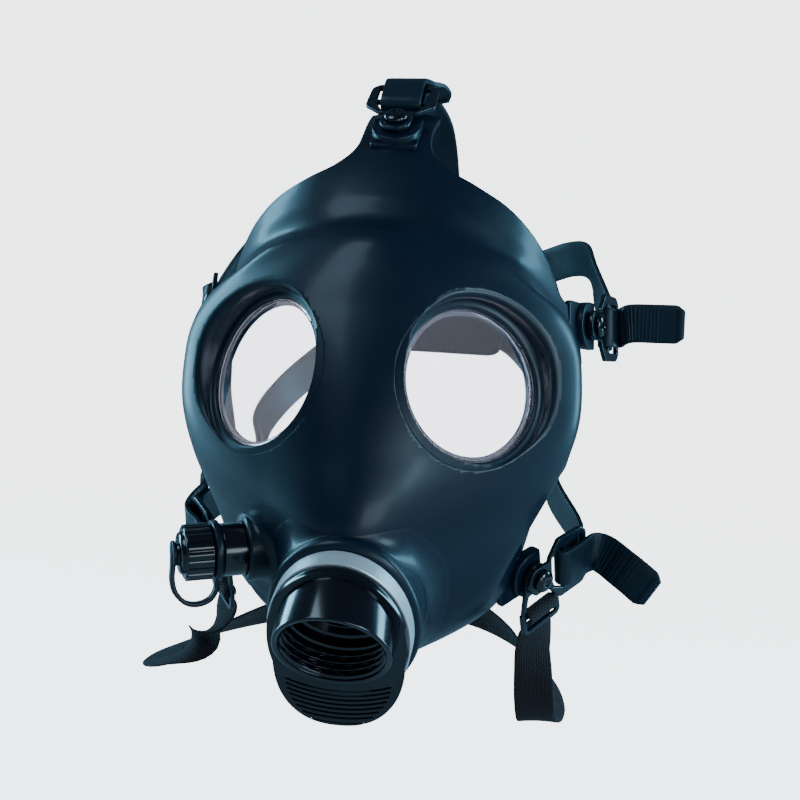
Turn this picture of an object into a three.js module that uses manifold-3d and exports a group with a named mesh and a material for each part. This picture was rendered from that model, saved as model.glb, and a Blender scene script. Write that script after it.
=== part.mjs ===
// Gas mask style costume mask, shown as it is worn. Millimetres, +Z up.
// The origin is the middle of the wearer's head at eye level, -Y is the front and +X the wearer's left.
import * as THREE from 'three';
import { mergeVertices } from 'three/addons/utils/BufferGeometryUtils.js';
import Module from 'manifold-3d';

const wasm = await Module();
wasm.setup();

// Driving dimensions
const gap = 0.3;              // clearance between pieces that seat on each other
const wall = 2.6;             // rubber of the facepiece
const halfWidth = 80.5;       // widest half width of the cup, at the cheekbones
const reach = 127;            // from the turning axis of the sections to the bridge of the nose
const axisHeight = -5;        // height of that axis, which runs through the ears
const head = { halfWidth: 81, halfDepth: 98, halfHeight: 113, fullness: 2.6 };

// A place on or near the facepiece: across as a share of halfWidth, back and up from the axis of reach
function onFace([across, back, up]) {
  return new THREE.Vector3(across * halfWidth, back * reach, axisHeight + up * reach);
}

const lens = {
  radius: 29.4, thick: 2, seat: 1.8, ledge: 1.8, chamfer: 0.4, recess: 33, slope: 1.6, turn: 39, lift: 12.5,
};
lens.centre = onFace([0.4994, -0.8268, -0.0079]);

const collar = {
  tilt: 28, halfWide: 29.3, halfTall: 35.5, lip: 5, corner: 1.2, step: 3.1, neck: 9, root: 26, waist: 2.5,
};
collar.centre = onFace([0, -0.9921, -0.7307]);
const band = { thick: 0.9, length: 8.2 };
const housing = { wall: 2.4, flange: 3.2, plug: 12 };
const chin = {
  tilt: 12, behindRim: 1.2, start: 0.5, margin: 0.5,
  flareWide: 0.63, flareTall: 0.46, fullness: 2.3, length: 14,
};
const socket = {
  tilt: 48, outer: 22.5, bore: 20.2, length: 21,
  turns: 4, pitch: 3, root: 1, flank: 1.3, firstTurn: 7.7, mouth: 1.5,
  ledge: 13, ledgeThick: 1.5,
  forward: 21.368, up: 2.415,
};
const grille = {
  slots: 8, pitch: 1.8, cut: 0.75, first: 3.5, halfWide: 20.2, tip: 14.6, bend: 62, segments: 4,
  deepest: 3, lowest: 17.2, underside: 0.4,
};

const port = {
  bore: 8, body: 10.5, length: 14.2, inside: 14, corner: 1, lip: 13, lipLength: 4.6, lipRoot: 12,
};
port.base = onFace([-0.518, -0.7874, -0.5543]);
port.axis = new THREE.Vector3(-0.888, -0.449, -0.1).normalize();
const cap = {
  radius: 11.4, length: 11, ribs: 12, ribDepth: 0.9, wall: 2, spigot: 7.5,
  disc: 8.5, grip: 4.6, gripLength: 2.6,
};
const tether = { width: 3, thick: 1.4, drop: 9.5, outside: 1.6, inside: 2.5, loopWidth: 4.2, eye: 5.2 };

const strapWidth = 16.5;
const strapThick = 2;
const stud = {
  neck: 3.2, head: 4.8, headThick: 2.4, foot: 5, footThick: 0.8, corner: 1.2, play: 0.4, above: 1.6,
};
const boss = { radius: 10, height: 3, root: 1, back: 5.5, tongue: 9.6, corner: 3 };
const buckle = {
  halfWide: 14.5, length: 28, thick: 2, bar: 2, midBar: 14.5, hook: 7, neck: 5, shoulder: 11,
  corner: 3.4, taper: 0.6, window: 10.5, windowStart: 6.6, narrowing: 3.5, endBar: 2.6,
};
const neckFrame = {
  halfWide: 11.5, length: 25, thick: 1.8, bar: 2, midBar: 16, hook: 6.4, shoulder: 13.5,
  corner: 2, window: 9, windowStart: 6.4, narrowing: 3,
};
const web = { width: 16.5, thick: 1.4 };
const pad = { height: 50, middle: 0.2566, thick: 2.5, lift: 1.8 };
const sides = { large: 24, middle: 18, small: 10 };   // sides of the round pieces, by their size
const through = 40;           // long enough to cut right through the rubber or the housing

const colours = {
  rubber: new THREE.MeshStandardMaterial({ color: 0x10161d, roughness: 0.5, metalness: 0 }),
  glossyPlastic: new THREE.MeshStandardMaterial({ color: 0x07090c, roughness: 0.16, metalness: 0 }),
  buckle: new THREE.MeshStandardMaterial({ color: 0x0a0e13, roughness: 0.25, metalness: 0 }),
  steel: new THREE.MeshStandardMaterial({ color: 0xd9dde2, roughness: 0.25, metalness: 1 }),
  lens: new THREE.MeshStandardMaterial({
    color: 0xc9c6dd, roughness: 0.05, metalness: 0, transparent: true, opacity: 0.3,
  }),
  webbing: new THREE.MeshStandardMaterial({ color: 0x17131a, roughness: 0.9, metalness: 0 }),
};

const model = new THREE.Group();

// Solids
function signedVolume(positions, triangles) {
  const [a, b, c] = [new THREE.Vector3(), new THREE.Vector3(), new THREE.Vector3()];
  let sum = 0;
  for (let i = 0; i < triangles.length; i += 3) {
    a.fromArray(positions, triangles[i] * 3);
    b.fromArray(positions, triangles[i + 1] * 3);
    c.fromArray(positions, triangles[i + 2] * 3);
    sum += a.dot(b.cross(c));
  }
  return sum;
}

function solidOf(geometry) {
  const bare = geometry.index ? geometry.toNonIndexed() : geometry;
  const plain = new THREE.BufferGeometry();
  plain.setAttribute('position', bare.getAttribute('position').clone());
  const merged = mergeVertices(plain, 1e-4);
  const vertProperties = new Float32Array(merged.getAttribute('position').array);
  const triVerts = new Uint32Array(merged.index.array);
  if (signedVolume(vertProperties, triVerts) < 0) {
    triVerts.reverse();
  }
  return new wasm.Manifold(new wasm.Mesh({ numProp: 3, vertProperties, triVerts }));
}

function placed(geometry, matrix) {
  return solidOf(geometry.clone().applyMatrix4(matrix));
}

function geometryOf(solid) {
  const mesh = solid.getMesh();
  const geometry = new THREE.BufferGeometry();
  geometry.setAttribute('position', new THREE.BufferAttribute(mesh.vertProperties, 3));
  geometry.setIndex(new THREE.BufferAttribute(mesh.triVerts, 1));
  geometry.computeVertexNormals();
  return geometry;
}

function add(name, solid, material) {
  const mesh = new THREE.Mesh(geometryOf(solid), material);
  mesh.name = name;
  model.add(mesh);
}

// A place on the mask: its Z axis points outwards and its Y axis along the pull of the strap
function seat(origin, out, along) {
  const z = out.clone().normalize();
  const x = along.clone().cross(z).normalize();
  const y = z.clone().cross(x);
  return new THREE.Matrix4().makeBasis(x, y, z).setPosition(origin);
}

function mirrored(vector) {
  return new THREE.Vector3(-vector.x, vector.y, vector.z);
}

function at(matrix, x, y, z) {
  return new THREE.Vector3(x, y, z).applyMatrix4(matrix);
}

// A turned solid: rows of radius and height, closed on the axis, which is local Z
function turned(rows, count, matrix, stretch = 1) {
  const points = rows.map(([radius, height]) => new THREE.Vector2(radius, height));
  const geometry = new THREE.LatheGeometry(points, count);
  geometry.rotateX(Math.PI / 2);
  geometry.scale(1, stretch, 1);
  return placed(geometry, matrix);
}

function rod(radius, low, high, count, matrix, stretch = 1) {
  return turned([[0, low], [radius, low], [radius, high], [0, high]], count, matrix, stretch);
}

function plate(shape, low, high, matrix, curveSegments = 6) {
  const options = { depth: high - low, bevelEnabled: false, curveSegments };
  const geometry = new THREE.ExtrudeGeometry(shape, options);
  geometry.translate(0, 0, low);
  return placed(geometry, matrix);
}

// The facepiece's skin. Every section lies in a plane through the ears, tilted up from level.
// Across is a share of halfWidth and out is a share of reach. A section runs from the middle (mid)
// past the eye (eye) over the brim of the cup (brim) to its foot on the head (foot) and back (back).
const sectionNames = [
  'tilt', 'mid', 'eyeAcross', 'eye', 'brimAcross', 'brim', 'footAcross', 'foot', 'backAcross', 'back',
];
const sections = [
  [-68, 0.957, 0.273, 0.913, 0.522, 0.819, 0.671, 0.709, 0.77, 0.52],
  [-54, 1.157, 0.273, 1.063, 0.547, 0.937, 0.683, 0.811, 0.795, 0.551],
  [-46, 1.213, 0.323, 1.079, 0.64, 0.906, 0.708, 0.732, 0.832, 0.472],
  [-36, 1.197, 0.398, 1.016, 0.795, 0.764, 0.752, 0.614, 0.894, 0.362],
  [-24, 1.184, 0.46, 0.992, 0.925, 0.689, 0.807, 0.52, 0.938, 0.315],
  [-12, 1.071, 0.497, 0.921, 0.994, 0.646, 0.845, 0.472, 0.969, 0.291],
  [0, 1, 0.497, 0.894, 1, 0.632, 0.851, 0.457, 0.981, 0.283],
  [12, 0.958, 0.478, 0.882, 0.963, 0.646, 0.857, 0.472, 0.981, 0.299],
  [21, 0.951, 0.41, 0.882, 0.857, 0.681, 0.839, 0.52, 0.969, 0.315],
  [27, 0.946, 0.335, 0.886, 0.609, 0.795, 0.77, 0.626, 0.957, 0.331],
  [32, 0.898, 0.311, 0.868, 0.571, 0.768, 0.745, 0.646, 0.944, 0.362],
  [38, 0.911, 0.311, 0.88, 0.571, 0.78, 0.77, 0.63, 0.944, 0.362],
  [46, 0.931, 0.311, 0.899, 0.571, 0.798, 0.77, 0.645, 0.944, 0.37],
  [56, 0.957, 0.311, 0.91, 0.571, 0.787, 0.77, 0.616, 0.944, 0.331],
  [70, 0.937, 0.311, 0.89, 0.571, 0.771, 0.77, 0.603, 0.944, 0.323],
].map((row) => Object.fromEntries(row.map((value, i) => [sectionNames[i], value])));
const columns = ['mid', 'eye', 'brim', 'foot', 'back'];

// A smooth curve through values at given places, with its slope taken from the neighbours
function smooth(places, values, place) {
  const last = places.length - 1;
  let i = 0;
  while (i < last - 1 && place > places[i + 1]) {
    i += 1;
  }
  const slope = (k) => {
    const low = Math.max(k - 1, 0);
    const high = Math.min(k + 1, last);
    return (values[high] - values[low]) / (places[high] - places[low]);
  };
  const span = places[i + 1] - places[i];
  const t = (place - places[i]) / span;
  const ease = t * t * (3 - 2 * t);
  const rise = t * (1 - t) * (1 - t) * slope(i) * span;
  const fall = t * t * (t - 1) * slope(i + 1) * span;
  return values[i] * (1 - ease) + values[i + 1] * ease + rise + fall;
}

const tilts = sections.map((row) => row.tilt);
const columnAt = (key, tilt) => smooth(tilts, sections.map((row) => row[key]), tilt);

// A point of the outer skin: turn runs from -4 (right) over 0 (middle) to 4 (left)
function skin(turn, tilt) {
  const side = Math.sign(turn) || 1;
  const across = columns.map((name) => (name === 'mid' ? 0 : columnAt(`${name}Across`, tilt)));
  const out = columns.map((name) => columnAt(name, tilt));
  const places = [-1, 0, 1, 2, 3, 4];
  const x = smooth(places, [-across[1], ...across], Math.abs(turn)) * halfWidth * side;
  const s = smooth(places, [out[1], ...out], Math.abs(turn)) * reach;
  const angle = THREE.MathUtils.degToRad(tilt);
  return new THREE.Vector3(x, -s * Math.cos(angle), axisHeight + s * Math.sin(angle));
}

function skinNormal(turn, tilt) {
  const step = 0.02;
  const across = skin(turn + step, tilt).sub(skin(turn - step, tilt));
  const up = skin(turn, tilt + step * 10).sub(skin(turn, tilt - step * 10));
  return across.cross(up).normalize();
}

// Where the skin is sampled: closer together over the brim and the brow ridge
const halfTurns = [0.5, 1, 1.4, 1.7, 1.9, 2.1, 2.4, 2.8, 3.4, 4];
const turnSteps = [...halfTurns.map((t) => -t).reverse(), 0, ...halfTurns];
const tiltSteps = [
  -68, -61, -54, -48, -42, -36, -30, -23, -15, -6, 4, 13, 20, 24, 27, 30, 34, 40, 48, 57, 70,
];

// Everything inside the skin, set in by a depth, closed at the back
function skinBody(depth) {
  const turns = turnSteps.length - 1;
  const rows = tiltSteps.length - 1;
  const points = [];
  for (const tilt of tiltSteps) {
    for (const turn of turnSteps) {
      points.push(skin(turn, tilt).addScaledVector(skinNormal(turn, tilt), -depth));
    }
  }
  const centre = points.length;
  points.push(new THREE.Vector3(0, -halfWidth * 0.1, axisHeight));
  const index = [];
  const id = (i, j) => j * (turns + 1) + i;
  for (let j = 0; j < rows; j += 1) {
    for (let i = 0; i < turns; i += 1) {
      index.push(id(i, j), id(i + 1, j), id(i + 1, j + 1), id(i, j), id(i + 1, j + 1), id(i, j + 1));
    }
  }
  for (let i = 0; i < turns; i += 1) {
    index.push(id(i + 1, 0), id(i, 0), centre, id(i, rows), id(i + 1, rows), centre);
  }
  for (let j = 0; j < rows; j += 1) {
    index.push(id(0, j), id(0, j + 1), centre, id(turns, j + 1), id(turns, j), centre);
  }
  const geometry = new THREE.BufferGeometry();
  geometry.setAttribute('position', new THREE.Float32BufferAttribute(points.flatMap((p) => p.toArray()), 3));
  geometry.setIndex(index);
  return solidOf(geometry);
}

// The outline seen from the front: half of it, across as a share of halfWidth, up in shares of halfWidth
const flangeOutline = [
  { across: 0.18, up: 1.34 },
  { across: 0.182, up: 1.09 },
  { across: 0.27, up: 0.985 },
  { across: 0.43, up: 0.9 },
  { across: 0.585, up: 0.808 },
  { across: 0.7, up: 0.695 },
  { across: 0.776, up: 0.58 },
  { across: 0.826, up: 0.47 },
  { across: 0.86, up: 0.385 },
  { across: 0.925, up: 0.33 },
  { across: 1.1, up: 0.31 },
  { across: 1.1, up: -1.8 },
];

// The outline seen from the wearer's left: back of the sheet, y and z in shares of halfWidth
const sideOutline = [
  { back: -0.59, up: 1.4 },
  { back: -0.59, up: 1.18 },
  { back: -0.45, up: 0.5 },
  { back: -0.44, up: 0.15 },
  { back: -0.5, up: -0.05 },
  { back: -0.55, up: -0.4 },
  { back: -0.6, up: -0.8 },
  { back: -0.66, up: -1.1 },
  { back: -0.6, up: -1.3 },
  { back: -0.52, up: -1.9 },
];

function frontPrism() {
  const right = flangeOutline.map(({ across, up }) => new THREE.Vector2(across * halfWidth, up * halfWidth));
  const left = right.map((p) => new THREE.Vector2(-p.x, p.y)).reverse();
  const shape = new THREE.Shape([...right, ...left]);
  const along = new THREE.Matrix4().makeRotationX(Math.PI / 2);
  return plate(shape, -0.1 * halfWidth, 2.5 * halfWidth, along);
}

function sidePrism() {
  const back = sideOutline.map((p) => new THREE.Vector2(p.back * halfWidth, p.up * halfWidth));
  const front = [-1.9, 1.4].map((up) => new THREE.Vector2(-2.5 * halfWidth, up * halfWidth));
  const shape = new THREE.Shape([...back, ...front]);
  const matrix = new THREE.Matrix4().makeBasis(
    new THREE.Vector3(0, 1, 0), new THREE.Vector3(0, 0, 1), new THREE.Vector3(1, 0, 0));
  return plate(shape, -1.3 * halfWidth, 1.3 * halfWidth, matrix);
}

// Places on the facepiece
const stretch = collar.halfTall / collar.halfWide;
const neckRadius = collar.halfWide - collar.step;
function lensSeat(side) {
  const turn = THREE.MathUtils.degToRad(lens.turn);
  const lift = THREE.MathUtils.degToRad(lens.lift);
  const level = Math.cos(lift);
  const out = new THREE.Vector3(Math.sin(turn) * level * side, -Math.cos(turn) * level, Math.sin(lift));
  const centre = side > 0 ? lens.centre : mirrored(lens.centre);
  return seat(centre, out, new THREE.Vector3(0, 0, 1));
}

function tiltedSeat(origin, tilt) {
  const angle = THREE.MathUtils.degToRad(tilt);
  return seat(origin, new THREE.Vector3(0, -Math.cos(angle), -Math.sin(angle)), new THREE.Vector3(0, 0, 1));
}

const mouthSeat = tiltedSeat(collar.centre, collar.tilt);
const socketSeat = tiltedSeat(at(mouthSeat, 0, socket.up, socket.forward), socket.tilt);
const portSeat = seat(port.base, port.axis, new THREE.Vector3(0, 0, 1));

// Each stud: where its boss's flat top is, which way is out, and which way its strap pulls
const studPlaces = {
  top: { at: [0, -0.5748, 0.7913], out: [0, -0.6, 0.8], pull: [0, 0.8, 0.6] },
  temple_left: { at: [1.0062, -0.2441, 0.2008], out: [0.95, -0.28, 0.08], pull: [0.2, 0.97, -0.05] },
  cheek_left: { at: [0.8012, -0.4094, -0.622], out: [0.8, -0.55, -0.24], pull: [0.46, 0.75, 0.42] },
};
const bossSeats = {};
for (const [name, place] of Object.entries(studPlaces)) {
  const { at: origin, out, pull } = place;
  bossSeats[name] = seat(onFace(origin), new THREE.Vector3(...out), new THREE.Vector3(...pull));
}
for (const name of ['temple', 'cheek']) {
  const left = bossSeats[`${name}_left`];
  const x = new THREE.Vector3();
  const y = new THREE.Vector3();
  const z = new THREE.Vector3();
  left.extractBasis(x, y, z);
  const origin = new THREE.Vector3().setFromMatrixPosition(left);
  bossSeats[`${name}_right`] = seat(mirrored(origin), mirrored(z), mirrored(y));
}

// How far each stud's rubber tongue runs behind the stud and in front of it
const tongues = {
  top: { back: 14, front: 10 },
  temple: { back: 9, front: 17 },
  cheek: { back: 9, front: 16 },
};

// The rubber tongue and half-round boss that carry a stud
function bossSolid(matrix, tongueBack, tongueFront) {
  const shape = new THREE.Shape();
  shape.absarc(0, 0, boss.radius, Math.PI, 2 * Math.PI, false);
  shape.lineTo(boss.radius, boss.back);
  shape.lineTo(-boss.radius, boss.back);
  shape.closePath();
  const tongue = new THREE.Shape();
  const half = boss.tongue;
  tongue.moveTo(-half, -tongueFront);
  tongue.lineTo(half, -tongueFront);
  tongue.lineTo(half, tongueBack - boss.corner);
  tongue.lineTo(half - boss.corner, tongueBack);
  tongue.lineTo(-half + boss.corner, tongueBack);
  tongue.lineTo(-half, tongueBack - boss.corner);
  tongue.closePath();
  const raised = plate(shape, -boss.height - boss.root, 0, matrix, 7);
  const strip = plate(tongue, -boss.height - wall, -boss.height, matrix);
  return raised.add(strip);
}

function facepiece() {
  const { halfWide, lip, corner, neck, root, waist } = collar;
  const mouthRows = [
    [0, -root], [neckRadius + waist, -root], [halfWide, -lip], [halfWide, -corner],
    [halfWide - corner, 0], [neckRadius, 0], [neckRadius, neck], [0, neck],
  ];
  const outer = skinBody(0)
    .add(turned(mouthRows, sides.large, mouthSeat, stretch))
    .add(rod(port.lip, -port.lipRoot, port.lipLength, sides.middle, portSeat));
  let inner = skinBody(wall);

  // A bucket of rubber is left round each eye, and the recess and the opening are cut into it
  const floor = -lens.thick - gap;
  for (const side of [1, -1]) {
    inner = inner.subtract(rod(lens.recess + wall, floor - lens.seat, through, sides.large, lensSeat(side)));
  }
  let shell = outer.subtract(inner).intersect(frontPrism()).intersect(sidePrism());
  for (const side of [1, -1]) {
    const fit = lens.radius + gap;
    const recess = turned([
      [0, -through], [lens.radius - lens.ledge, -through], [lens.radius - lens.ledge, floor],
      [fit, floor], [fit, -lens.chamfer], [fit + 2 * lens.chamfer, lens.chamfer], [lens.recess, lens.slope],
      [lens.recess, through], [0, through],
    ], sides.large, lensSeat(side));
    shell = shell.subtract(recess);
  }
  shell = shell.subtract(rod(neckRadius - wall, -through, through, sides.large, mouthSeat, stretch));
  shell = shell.subtract(rod(port.bore + wall + gap, -through, through, sides.middle, portSeat));

  for (const [name, matrix] of Object.entries(bossSeats)) {
    const { back, front } = tongues[name.split('_')[0]];
    shell = shell.add(bossSolid(matrix, back, front));
  }
  return shell;
}
add('facepiece', facepiece(), colours.rubber);

for (const [name, side] of [['lens_left', 1], ['lens_right', -1]]) {
  add(name, rod(lens.radius, -lens.thick, 0, sides.large, lensSeat(side)), colours.lens);
}

// Mouth: steel band and valve housing
const bandInner = neckRadius + gap;
const bandStart = gap;
const bandEnd = bandStart + band.length;
add('mouth_clamp', turned([
  [bandInner, bandStart], [bandInner + band.thick, bandStart], [bandInner + band.thick, bandEnd],
  [bandInner, bandEnd], [bandInner, bandStart],
], sides.large, mouthSeat, stretch), colours.steel);

// The housing's chin flares from the flange's oval and is cut off by the flat face with the grille
const flangeFront = collar.neck + gap + housing.flange;
const chinStart = collar.neck + gap + chin.start;
const faceSeat = tiltedSeat(at(socketSeat, 0, -socket.outer, -chin.behindRim), chin.tilt);
const faceOut = at(faceSeat, 0, 0, 1).sub(at(faceSeat, 0, 0, 0));
const facePlane = faceOut.dot(at(faceSeat, 0, 0, 0));

function chinSolid(shrink, low, count) {
  const share = 2 / chin.fullness;
  const rounded = (value) => Math.sign(value) * Math.abs(value) ** share;
  const ring = (forward) => {
    const wide = bandInner - chin.margin + chin.flareWide * (forward - chinStart) - shrink;
    const tall = bandInner * stretch - chin.margin + chin.flareTall * (forward - chinStart) - shrink;
    return Array.from({ length: count }, (_, i) => {
      const angle = (i / count) * 2 * Math.PI;
      return at(mouthSeat, wide * rounded(Math.cos(angle)), tall * rounded(Math.sin(angle)), forward);
    });
  };
  const high = chinStart + chin.length;
  const points = [...ring(low), ...ring(high), at(mouthSeat, 0, 0, low), at(mouthSeat, 0, 0, high)];
  const index = [];
  for (let i = 0; i < count; i += 1) {
    const next = (i + 1) % count;
    index.push(i, next, count + next, i, count + next, count + i);
    index.push(next, i, 2 * count, count + i, count + next, 2 * count + 1);
  }
  const geometry = new THREE.BufferGeometry();
  geometry.setAttribute('position', new THREE.Float32BufferAttribute(points.flatMap((p) => p.toArray()), 3));
  geometry.setIndex(index);
  return solidOf(geometry).trimByPlane(faceOut.clone().negate().toArray(), shrink - facePlane);
}

// A grille slot: a thin bent cut through the face, with both ends drawn up
function slotCutter(down) {
  const { cut, first, halfWide, tip, bend, segments, deepest, lowest, underside } = grille;
  const half = halfWide * Math.sqrt(1 - ((down - first) / tip) ** 2);
  const edge = (side) => Array.from({ length: segments + 1 }, (_, i) => {
    const x = half * ((2 * i) / segments - 1);
    return new THREE.Vector2(x, bend - Math.sqrt(bend ** 2 - x ** 2) - down + (side * cut) / 2);
  });
  const shape = new THREE.Shape([...edge(-1), ...edge(1).reverse()]);
  // The lowest cuts are shallow, so that they stay inside the chin
  const depth = Math.min(deepest, (lowest - down) * underside);
  return plate(shape, -depth, 1, faceSeat);
}

function valveHousing() {
  const plugRadius = neckRadius - wall - gap;
  const front = collar.neck + gap;
  const plug = turned([
    [0, -housing.plug], [plugRadius, -housing.plug], [plugRadius, front], [bandInner, front],
    [bandInner + 0.5, front + 1], [bandInner, flangeFront], [0, flangeFront],
  ], sides.large, mouthSeat, stretch);
  const body = chinSolid(0, chinStart, sides.large);
  const out = at(mouthSeat, 0, 0, 1).sub(at(mouthSeat, 0, 0, 0));
  const frontPlane = out.dot(at(mouthSeat, 0, 0, front));
  const inFront = (solid, by) => solid.trimByPlane(out.toArray(), frontPlane + by);
  const tube = inFront(rod(socket.outer, -socket.length, 0, sides.large, socketSeat), 1);
  const ahead = rod(socket.outer, 0, through, sides.large, socketSeat);
  const hollowRadius = plugRadius - housing.wall;
  const half = housing.wall / 2;
  const hollow = rod(hollowRadius, -housing.plug - 1, flangeFront - half, sides.middle, mouthSeat, stretch)
    .add(chinSolid(housing.wall, front + half, sides.middle));
  const guard = rod(socket.outer + 0.2, -socket.length, through, sides.middle, socketSeat);
  const shell = plug.add(body).add(tube).subtract(hollow.subtract(guard)).subtract(ahead);

  // The socket's bore with its thread's grooves and the gasket ledge at its inner end
  const narrow = socket.bore - socket.root;
  const floor = -socket.length + socket.ledgeThick;
  const rows = [[0, -through], [socket.ledge, -through], [socket.ledge, floor], [narrow, floor]];
  for (let i = 0; i < socket.turns; i += 1) {
    const z = -socket.length + socket.firstTurn + i * socket.pitch;
    rows.push([narrow, z], [socket.bore, z + socket.flank], [narrow, z + 2 * socket.flank]);
  }
  rows.push([socket.bore, -socket.mouth], [socket.bore, 1], [0, 1]);
  const bore = turned(rows, sides.middle, socketSeat);
  const within = rod(hollowRadius, -housing.plug - 1, front + 1, sides.middle, mouthSeat, stretch);
  let whole = shell.subtract(inFront(bore, 0.6)).subtract(bore.intersect(within));

  for (let i = 0; i < grille.slots; i += 1) {
    whole = whole.subtract(slotCutter(grille.first + i * grille.pitch));
  }
  return whole;
}
add('valve_housing', valveHousing(), colours.glossyPlastic);

// Side port: hollow body, ribbed cap with a grip, and the tether that keeps the cap
const portFoot = port.lipLength + gap;
add('port_body', turned([
  [0, port.length], [port.body - port.corner, port.length], [port.body, port.length - port.corner],
  [port.body, portFoot], [port.bore + wall, portFoot], [port.bore + wall, -port.inside],
  [port.bore, -port.inside], [port.bore, port.length - cap.wall], [0, port.length - cap.wall],
], sides.middle, portSeat), colours.glossyPlastic);

const capStart = port.length + gap + tether.width + gap;
const capEnd = capStart + cap.length;
const gripEnd = capEnd + cap.gripLength;
function portCap() {
  const corners = [];
  for (let i = 0; i < cap.ribs * 4; i += 1) {
    const radius = i % 4 < 2 ? cap.radius : cap.radius - cap.ribDepth;
    const angle = (i / (cap.ribs * 4)) * 2 * Math.PI;
    corners.push(new THREE.Vector2(radius * Math.cos(angle), radius * Math.sin(angle)));
  }
  const drum = plate(new THREE.Shape(corners), capStart, capEnd, portSeat);
  const spigot = rod(cap.spigot, port.length + gap, capStart + 1, sides.small, portSeat);
  const grip = turned([
    [0, capEnd - 1], [cap.disc, capEnd - 1], [cap.disc - 0.5, gripEnd - 1], [cap.grip, gripEnd], [0, gripEnd],
  ], sides.small, portSeat);
  return drum.add(grip).add(spigot);
}
add('port_cap', portCap(), colours.glossyPlastic);

function station({ at: place, wide }) {
  return { at: onFace(place), wide: new THREE.Vector3(...wide).normalize() };
}

// A flat strip along stations, each with its place and the direction of its width
function strip(stations, width, thick, perSpan = 3) {
  const curve = new THREE.CatmullRomCurve3(stations.map((s) => s.at), false, 'centripetal');
  const spans = stations.length - 1;
  const count = spans * perSpan;
  const corners = [];
  // A width has no sense of its own, so neighbouring stations' widths are made to point the same way
  const wides = stations.map((s) => s.wide.clone());
  for (let k = 1; k < wides.length; k += 1) {
    if (wides[k].dot(wides[k - 1]) < 0) {
      wides[k].negate();
    }
  }
  for (let i = 0; i <= count; i += 1) {
    const t = i / count;
    const place = curve.getPoint(t);
    const tangent = curve.getTangent(t);
    const k = Math.min(Math.floor(i / perSpan), spans - 1);
    const wide = wides[k].clone().lerp(wides[k + 1], i / perSpan - k);
    wide.addScaledVector(tangent, -wide.dot(tangent)).normalize();
    const thin = tangent.clone().cross(wide).normalize();
    for (const [a, b] of [[-1, -1], [1, -1], [1, 1], [-1, 1]]) {
      const corner = place.clone().addScaledVector(wide, (a * width) / 2);
      corners.push(corner.addScaledVector(thin, (b * thick) / 2));
    }
  }
  const index = [0, 2, 1, 0, 3, 2];
  for (let i = 0; i < count; i += 1) {
    for (let side = 0; side < 4; side += 1) {
      const a = i * 4 + side;
      const b = i * 4 + ((side + 1) % 4);
      // Facing sides are split along the same diagonal, so that a twisted strip keeps its thickness
      if (side < 2) {
        index.push(a, b, b + 4, a, b + 4, a + 4);
      } else {
        index.push(a, b, a + 4, b, b + 4, a + 4);
      }
    }
  }
  const end = count * 4;
  index.push(end, end + 1, end + 2, end, end + 2, end + 3);
  const geometry = new THREE.BufferGeometry();
  geometry.setAttribute('position', new THREE.Float32BufferAttribute(corners.flatMap((p) => p.toArray()), 3));
  geometry.setIndex(index);
  return solidOf(geometry);
}

function tetherSolid() {
  const ringLow = port.length + gap;
  const ringHigh = ringLow + tether.width;
  const outside = port.body + tether.outside;
  const inside = port.body - tether.inside;
  const ring = turned([
    [inside, ringLow], [outside, ringLow], [outside, ringHigh], [inside, ringHigh], [inside, ringLow],
  ], sides.middle, portSeat);
  const end = gripEnd + gap;
  const mid = (ringLow + ringHigh) / 2;
  const low = -port.body - 1.2;
  const wide = at(portSeat, 1, 0, 0).sub(at(portSeat, 0, 0, 0));
  const stations = [
    [mid, low + 0.6], [mid + 0.2, low - 4], [mid + 4, low - tether.drop + 1.5], [mid + 9, low - tether.drop],
    [end - 1.5, low - tether.drop + 3.5], [end + 1.6, low + 0.5], [end + 1, low + 6], [end + 0.7, 4.5],
  ].map(([z, y]) => ({ at: at(portSeat, 0, y, z), wide }));
  const loop = strip(stations, tether.loopWidth, tether.thick, 2);
  const eye = rod(tether.eye, end, end + tether.thick, sides.small, portSeat);
  return ring.add(loop).add(eye);
}
add('port_tether', tetherSolid(), colours.rubber);

// Studs and buckles
function studSolid(matrix, hooks) {
  const footEnd = gap + stud.footThick;
  const neckEnd = hooks * (buckle.thick + stud.play) + stud.above;
  const end = neckEnd + stud.headThick;
  return turned([
    [0, gap], [stud.foot, gap], [stud.foot, footEnd], [stud.neck, footEnd], [stud.neck, neckEnd],
    [stud.head, neckEnd], [stud.head, neckEnd + 1], [stud.head - stud.corner, end], [0, end],
  ], sides.small, matrix);
}

// A hooked frame's hole round the stud and its two windows, before and behind the middle bar
function frameHoles({ midBar, bar, window, windowStart, narrowing }, windowEnd) {
  const eye = new THREE.Path();
  eye.absarc(0, 0, stud.neck + gap, 0, 2 * Math.PI, true);
  const spans = [
    { from: windowStart, to: midBar - bar / 2, near: window - narrowing },
    { from: midBar + bar / 2, to: windowEnd, near: window },
  ];
  const windows = spans.map(({ from, to, near }) => {
    const hole = new THREE.Path();
    hole.moveTo(-near, from);
    hole.lineTo(-window, to);
    hole.lineTo(window, to);
    hole.lineTo(near, from);
    hole.closePath();
    return hole;
  });
  return [eye, ...windows];
}

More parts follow.
